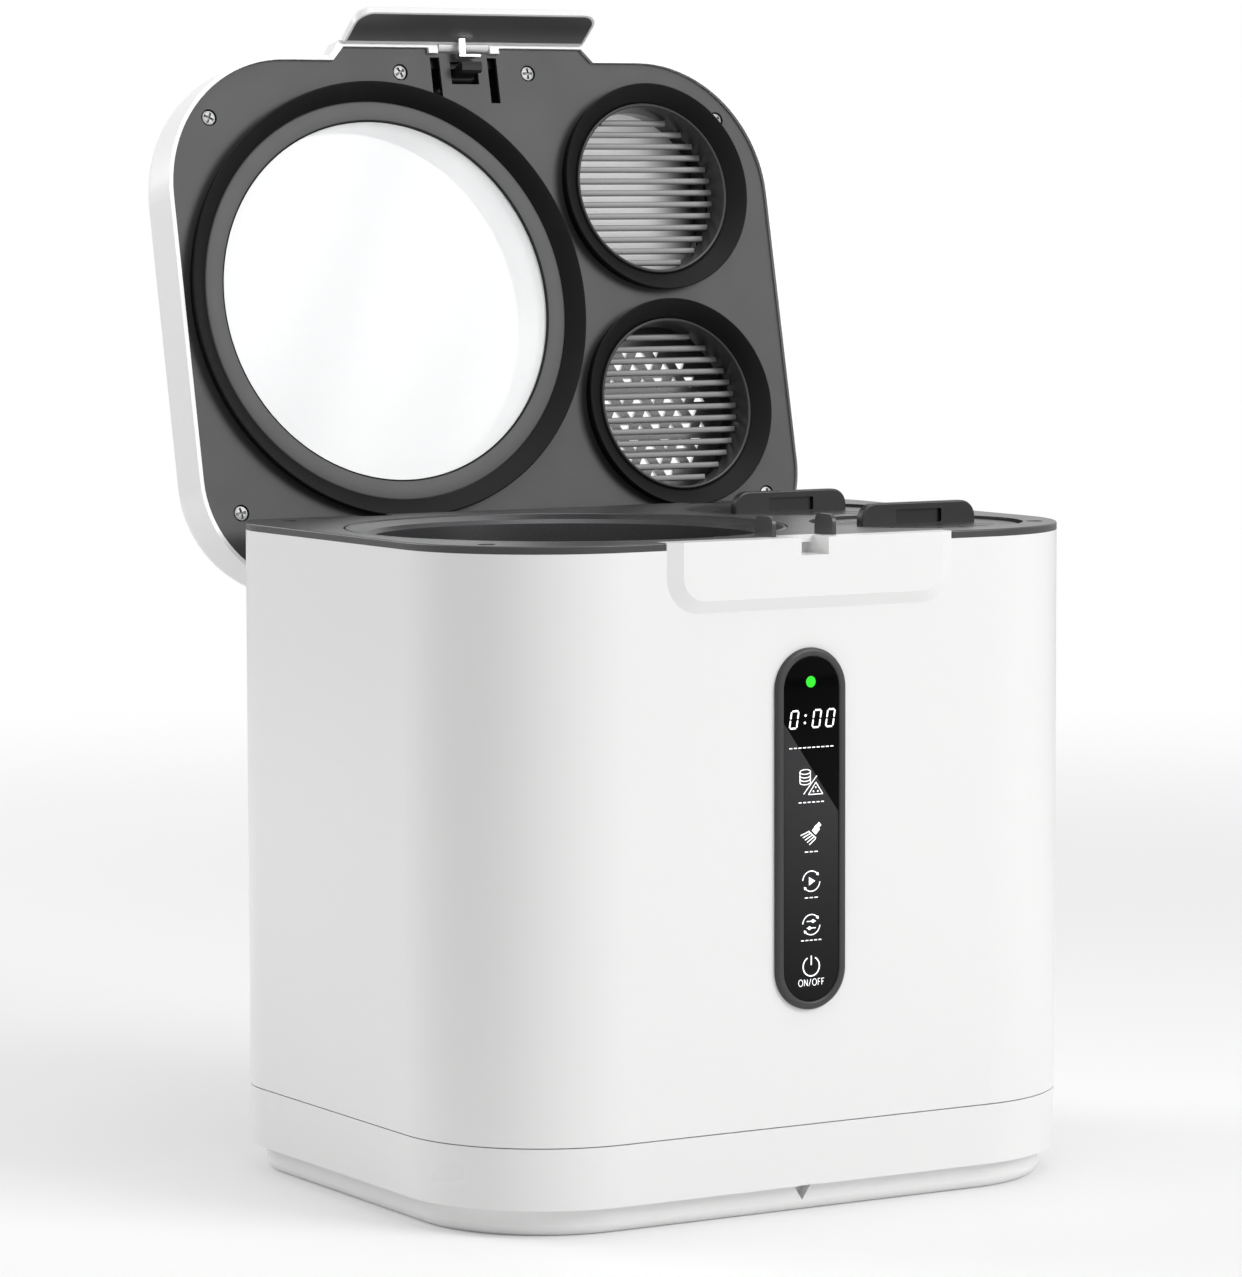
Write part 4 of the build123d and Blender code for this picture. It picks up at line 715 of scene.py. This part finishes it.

# the front vent's back wall is a thin sheet that glows with painted light, and is painted black as
# shade on its right side
duct_skin = Finish("duct_skin", (0.74, 0.74, 0.74), 0.4, Emission_Strength=0.24)
duct_skin.slot = "duct_white"
painted_shade = duct_skin.axis("X").step(*SKIN_SHADE)
duct_skin.tint(painted_shade, (0.004, 0.004, 0.004))
duct_skin.set(Roughness=0.4 + 0.3 * painted_shade, Emission_Color=duct_skin.node(
    "Mix", {"data_type": "RGBA"}, out=2, _0=painted_shade, _6=(1, 1, 1, 1), _7=(0, 0, 0, 1)))
duct_skin.emboss(duct_skin.noise(9, 2), 0.05)
skin_rows = [(0, 347.9), (45.6, 347.9), (46.0, 348.1), (46.0, 348.5), (0, 348.5)]
skin_grid = opened(lathe(skin_rows, VENT_XY["front"]))
piece("duct_skin_front", duct_skin, [sheet(skin_grid, round_v=True)], "lid")


# ---- latch -----------------------------------------------------------------
# A white lever with a dark inner plate swings on a pin in the lid's nose. Its
# chromed arm draws the black hook under the bridge of the latch block.

dress(white, "lever_cover")
dark_plate = Finish("lever_dark", (0.062, 0.062, 0.064), 0.3, Coat_Weight=0.3, Coat_Roughness=0.15)
PLATE_FOOT = 549                        # the plate is paler towards its lower edge
# painted reflection: the plate turns paler towards its lower edge
painted_sheen = (dark_plate.axis("Z") - PLATE_FOOT).step(12, -2)
dark_plate.tint(painted_sheen, (0.17, 0.17, 0.172))
dark_plate.emboss(dark_plate.noise(0.5, 2), 0.006)
dress(dark_plate, "lever_plate")
chrome = Finish("bright_chrome", (0.80, 0.81, 0.82), 0.08, Metallic=1.0)
chrome.set(Roughness=0.07 + 0.08 * chrome.noise(3, 3))
dress(chrome, "latch_arm")
dress(moulded("hook_black", (0.012, 0.012, 0.0125), 0.42), "latch_hook")


# ---- filters ---------------------------------------------------------------
# Each filter is a canister of charcoal under a dark lid with an upright grip.
# The grip has a shallow recess for the fingertips, painted darker than the rest as shade.

RECESS_HW, RECESS_Y, RECESS_Z0, RECESS_Z1 = 13.3, -2.45, 316.7, 323.7
for key, (x, y) in VENT_XY.items():
    lid_black = moulded("dark_filter_" + key, (0.014, 0.014, 0.0145), 0.34, specular=0.5)
    across = abs(lid_black.axis("X") - x) < RECESS_HW
    behind = (lid_black.axis("Y") > y + RECESS_Y) * (lid_black.axis("Y") < y)
    raised = (lid_black.axis("Z") > RECESS_Z0) * (lid_black.axis("Z") < RECESS_Z1)
    # painted shade darkens the grip's recess
    lid_black.tint(across * behind * raised, (0.003, 0.003, 0.003))
    dress(lid_black, "filter_lid_" + key)
canister = moulded("canister_grey", (0.16, 0.16, 0.163), 0.5)
dress(canister, "filter_canister_front", "filter_canister_rear")


# ---- bucket and bail -------------------------------------------------------
# The bucket is pressed aluminium with a dark non-stick coat, bare wire bail and
# a moulded grip.

coated = Finish("coated_bucket", (0.06, 0.06, 0.063), 0.3, Metallic=0.55)
coated.tint(coated.cells(1.4).step(0.12, 0.09), (0.2, 0.2, 0.2))
coated.set(Roughness=0.26 + 0.12 * coated.noise(6, 4, (0.1, 0.1, 1)))
coated.emboss(coated.noise(0.9, 3, (0.2, 0.2, 1)), 0.02)
dress(coated, "bucket")
wire = Finish("bail_wire", (0.52, 0.53, 0.54), 0.25, Metallic=1.0)
wire.mottle(wire.noise(1.2, 3), 0.08)
dress(wire, "bail_handle")
dress(moulded("grip_black", (0.015, 0.015, 0.0155), 0.45), "bail_grip")


# ---- camera ----------------------------------------------------------------
# Heading, downward pitch and roll in degrees, place in mm, focal length in pixels
# of a frame 1242 wide, and the place of the optical axis off its middle.

HEADING, TILT, ROLL = map(math.radians, (31.0, 5.04, -0.14))
EYE, FOCAL, FRAME_W, OFF_X, OFF_Y = (-1317.17, -2164.84, 479.81), 5235.12, 1242, 10.69, 8.19
forward = np.array([math.sin(HEADING) * math.cos(TILT), math.cos(HEADING) * math.cos(TILT),
                    -math.sin(TILT)])
level = np.array([math.cos(HEADING), -math.sin(HEADING), 0])
upward = np.cross(level, forward)
pose = np.eye(4)
pose[:3, :3] = np.stack([math.cos(ROLL) * level + math.sin(ROLL) * upward,
                         math.cos(ROLL) * upward - math.sin(ROLL) * level, -forward], axis=1)
pose[:3, 3] = np.array(EYE) * MM
lens = bpy.data.cameras.new("camera")
SENSOR_W = 36.0
lens.sensor_fit, lens.sensor_width = "HORIZONTAL", SENSOR_W
lens.lens = SENSOR_W * FOCAL / FRAME_W
lens.shift_x, lens.shift_y = -OFF_X / FRAME_W, OFF_Y / FRAME_W
camera = bpy.data.objects.new("camera", lens)
camera.matrix_world = Matrix(pose.tolist())
bpy.context.scene.collection.objects.link(camera)
bpy.context.scene.camera = camera


# ---- studio ----------------------------------------------------------------
# Three large soft lamps, in metres and watts, stand round a pale floor. The
# surround is white to look at and dimmer as a light.

AIM_Z = 0.28


def soft_lamp(name, azimuth, height, distance, size, power):
    """Square lamp aimed at the object's middle; azimuth 0 is in front of it, 90 to its right."""
    light = bpy.data.lights.new(name, "AREA")
    light.size, light.energy = size, power
    a = math.radians(azimuth)
    place = np.array([math.sin(a) * distance, -math.cos(a) * distance, height])
    back = place - (0, 0, AIM_Z)
    back /= np.linalg.norm(back)
    side = np.cross([0, 0, 1], back)
    side /= np.linalg.norm(side)
    pose = np.eye(4)
    pose[:3, :3] = np.stack([side, np.cross(back, side), back], axis=1)
    pose[:3, 3] = place
    obj = bpy.data.objects.new(name, light)
    obj.matrix_world = Matrix(pose.tolist())
    bpy.context.scene.collection.objects.link(obj)


soft_lamp("lamp_front_right", 30, 1.5, 2.2, 1.3, 35)
soft_lamp("lamp_left_rear", -140, 1.3, 2.2, 1.3, 23)
soft_lamp("lamp_top", 10, 2.6, 0.4, 1.6, 17)

surround = bpy.data.worlds.new("surround")
bpy.context.scene.world = surround
surround.use_nodes = True
sky = surround.node_tree
rays = sky.nodes.new("ShaderNodeLightPath")
camera_ray, glossy_ray, through_ray = [Wire(sky, rays.outputs[f"Is {kind} Ray"])
                                       for kind in ("Camera", "Glossy", "Transmission")]
seen = camera_ray.math("MAXIMUM", camera_ray.math("MAXIMUM", camera_ray, glossy_ray), through_ray)
AMBIENT = 0.43
sky.nodes["Background"].inputs["Color"].default_value = (1, 1, 1, 1)
sky.links.new((seen * (1 - AMBIENT) + AMBIENT).output, sky.nodes["Background"].inputs["Strength"])

# to the camera the floor turns white with distance and keeps the shadow near the object
FLOOR_HW, FLOOR_POINTS, NEAR, FAR, NEAR_GLOW = 20000, 9, 600, 2400, 0.15
floor_paint = Finish("floor_paint", (0.86, 0.86, 0.86), 0.7)
across, along = floor_paint.axis("X"), floor_paint.axis("Y")
reach = (across * across + along * along) ** 0.5
glow = floor_paint.node("Emission", Strength=1.0)
floor_ray = floor_paint.node("LightPath", out="Is Camera Ray")
share = floor_ray * (NEAR_GLOW + (1 - NEAR_GLOW) * reach.step(NEAR, FAR))
painted = Wire(floor_paint.tree, floor_paint.shader.outputs[0])
blend = floor_paint.node("MixShader", _0=share, _1=painted, _2=glow)
surface = floor_paint.tree.nodes["Material Output"].inputs["Surface"]
floor_paint.tree.links.new(blend.output, surface)
spread = np.linspace(-FLOOR_HW, FLOOR_HW, FLOOR_POINTS)
floor_xy = np.meshgrid(spread, spread, indexing="ij")
floor_grid = np.stack([*floor_xy, np.zeros((FLOOR_POINTS, FLOOR_POINTS))], axis=-1)
piece("floor", floor_paint, [sheet(floor_grid)], None)

bpy.context.scene.view_settings.view_transform = "Standard"
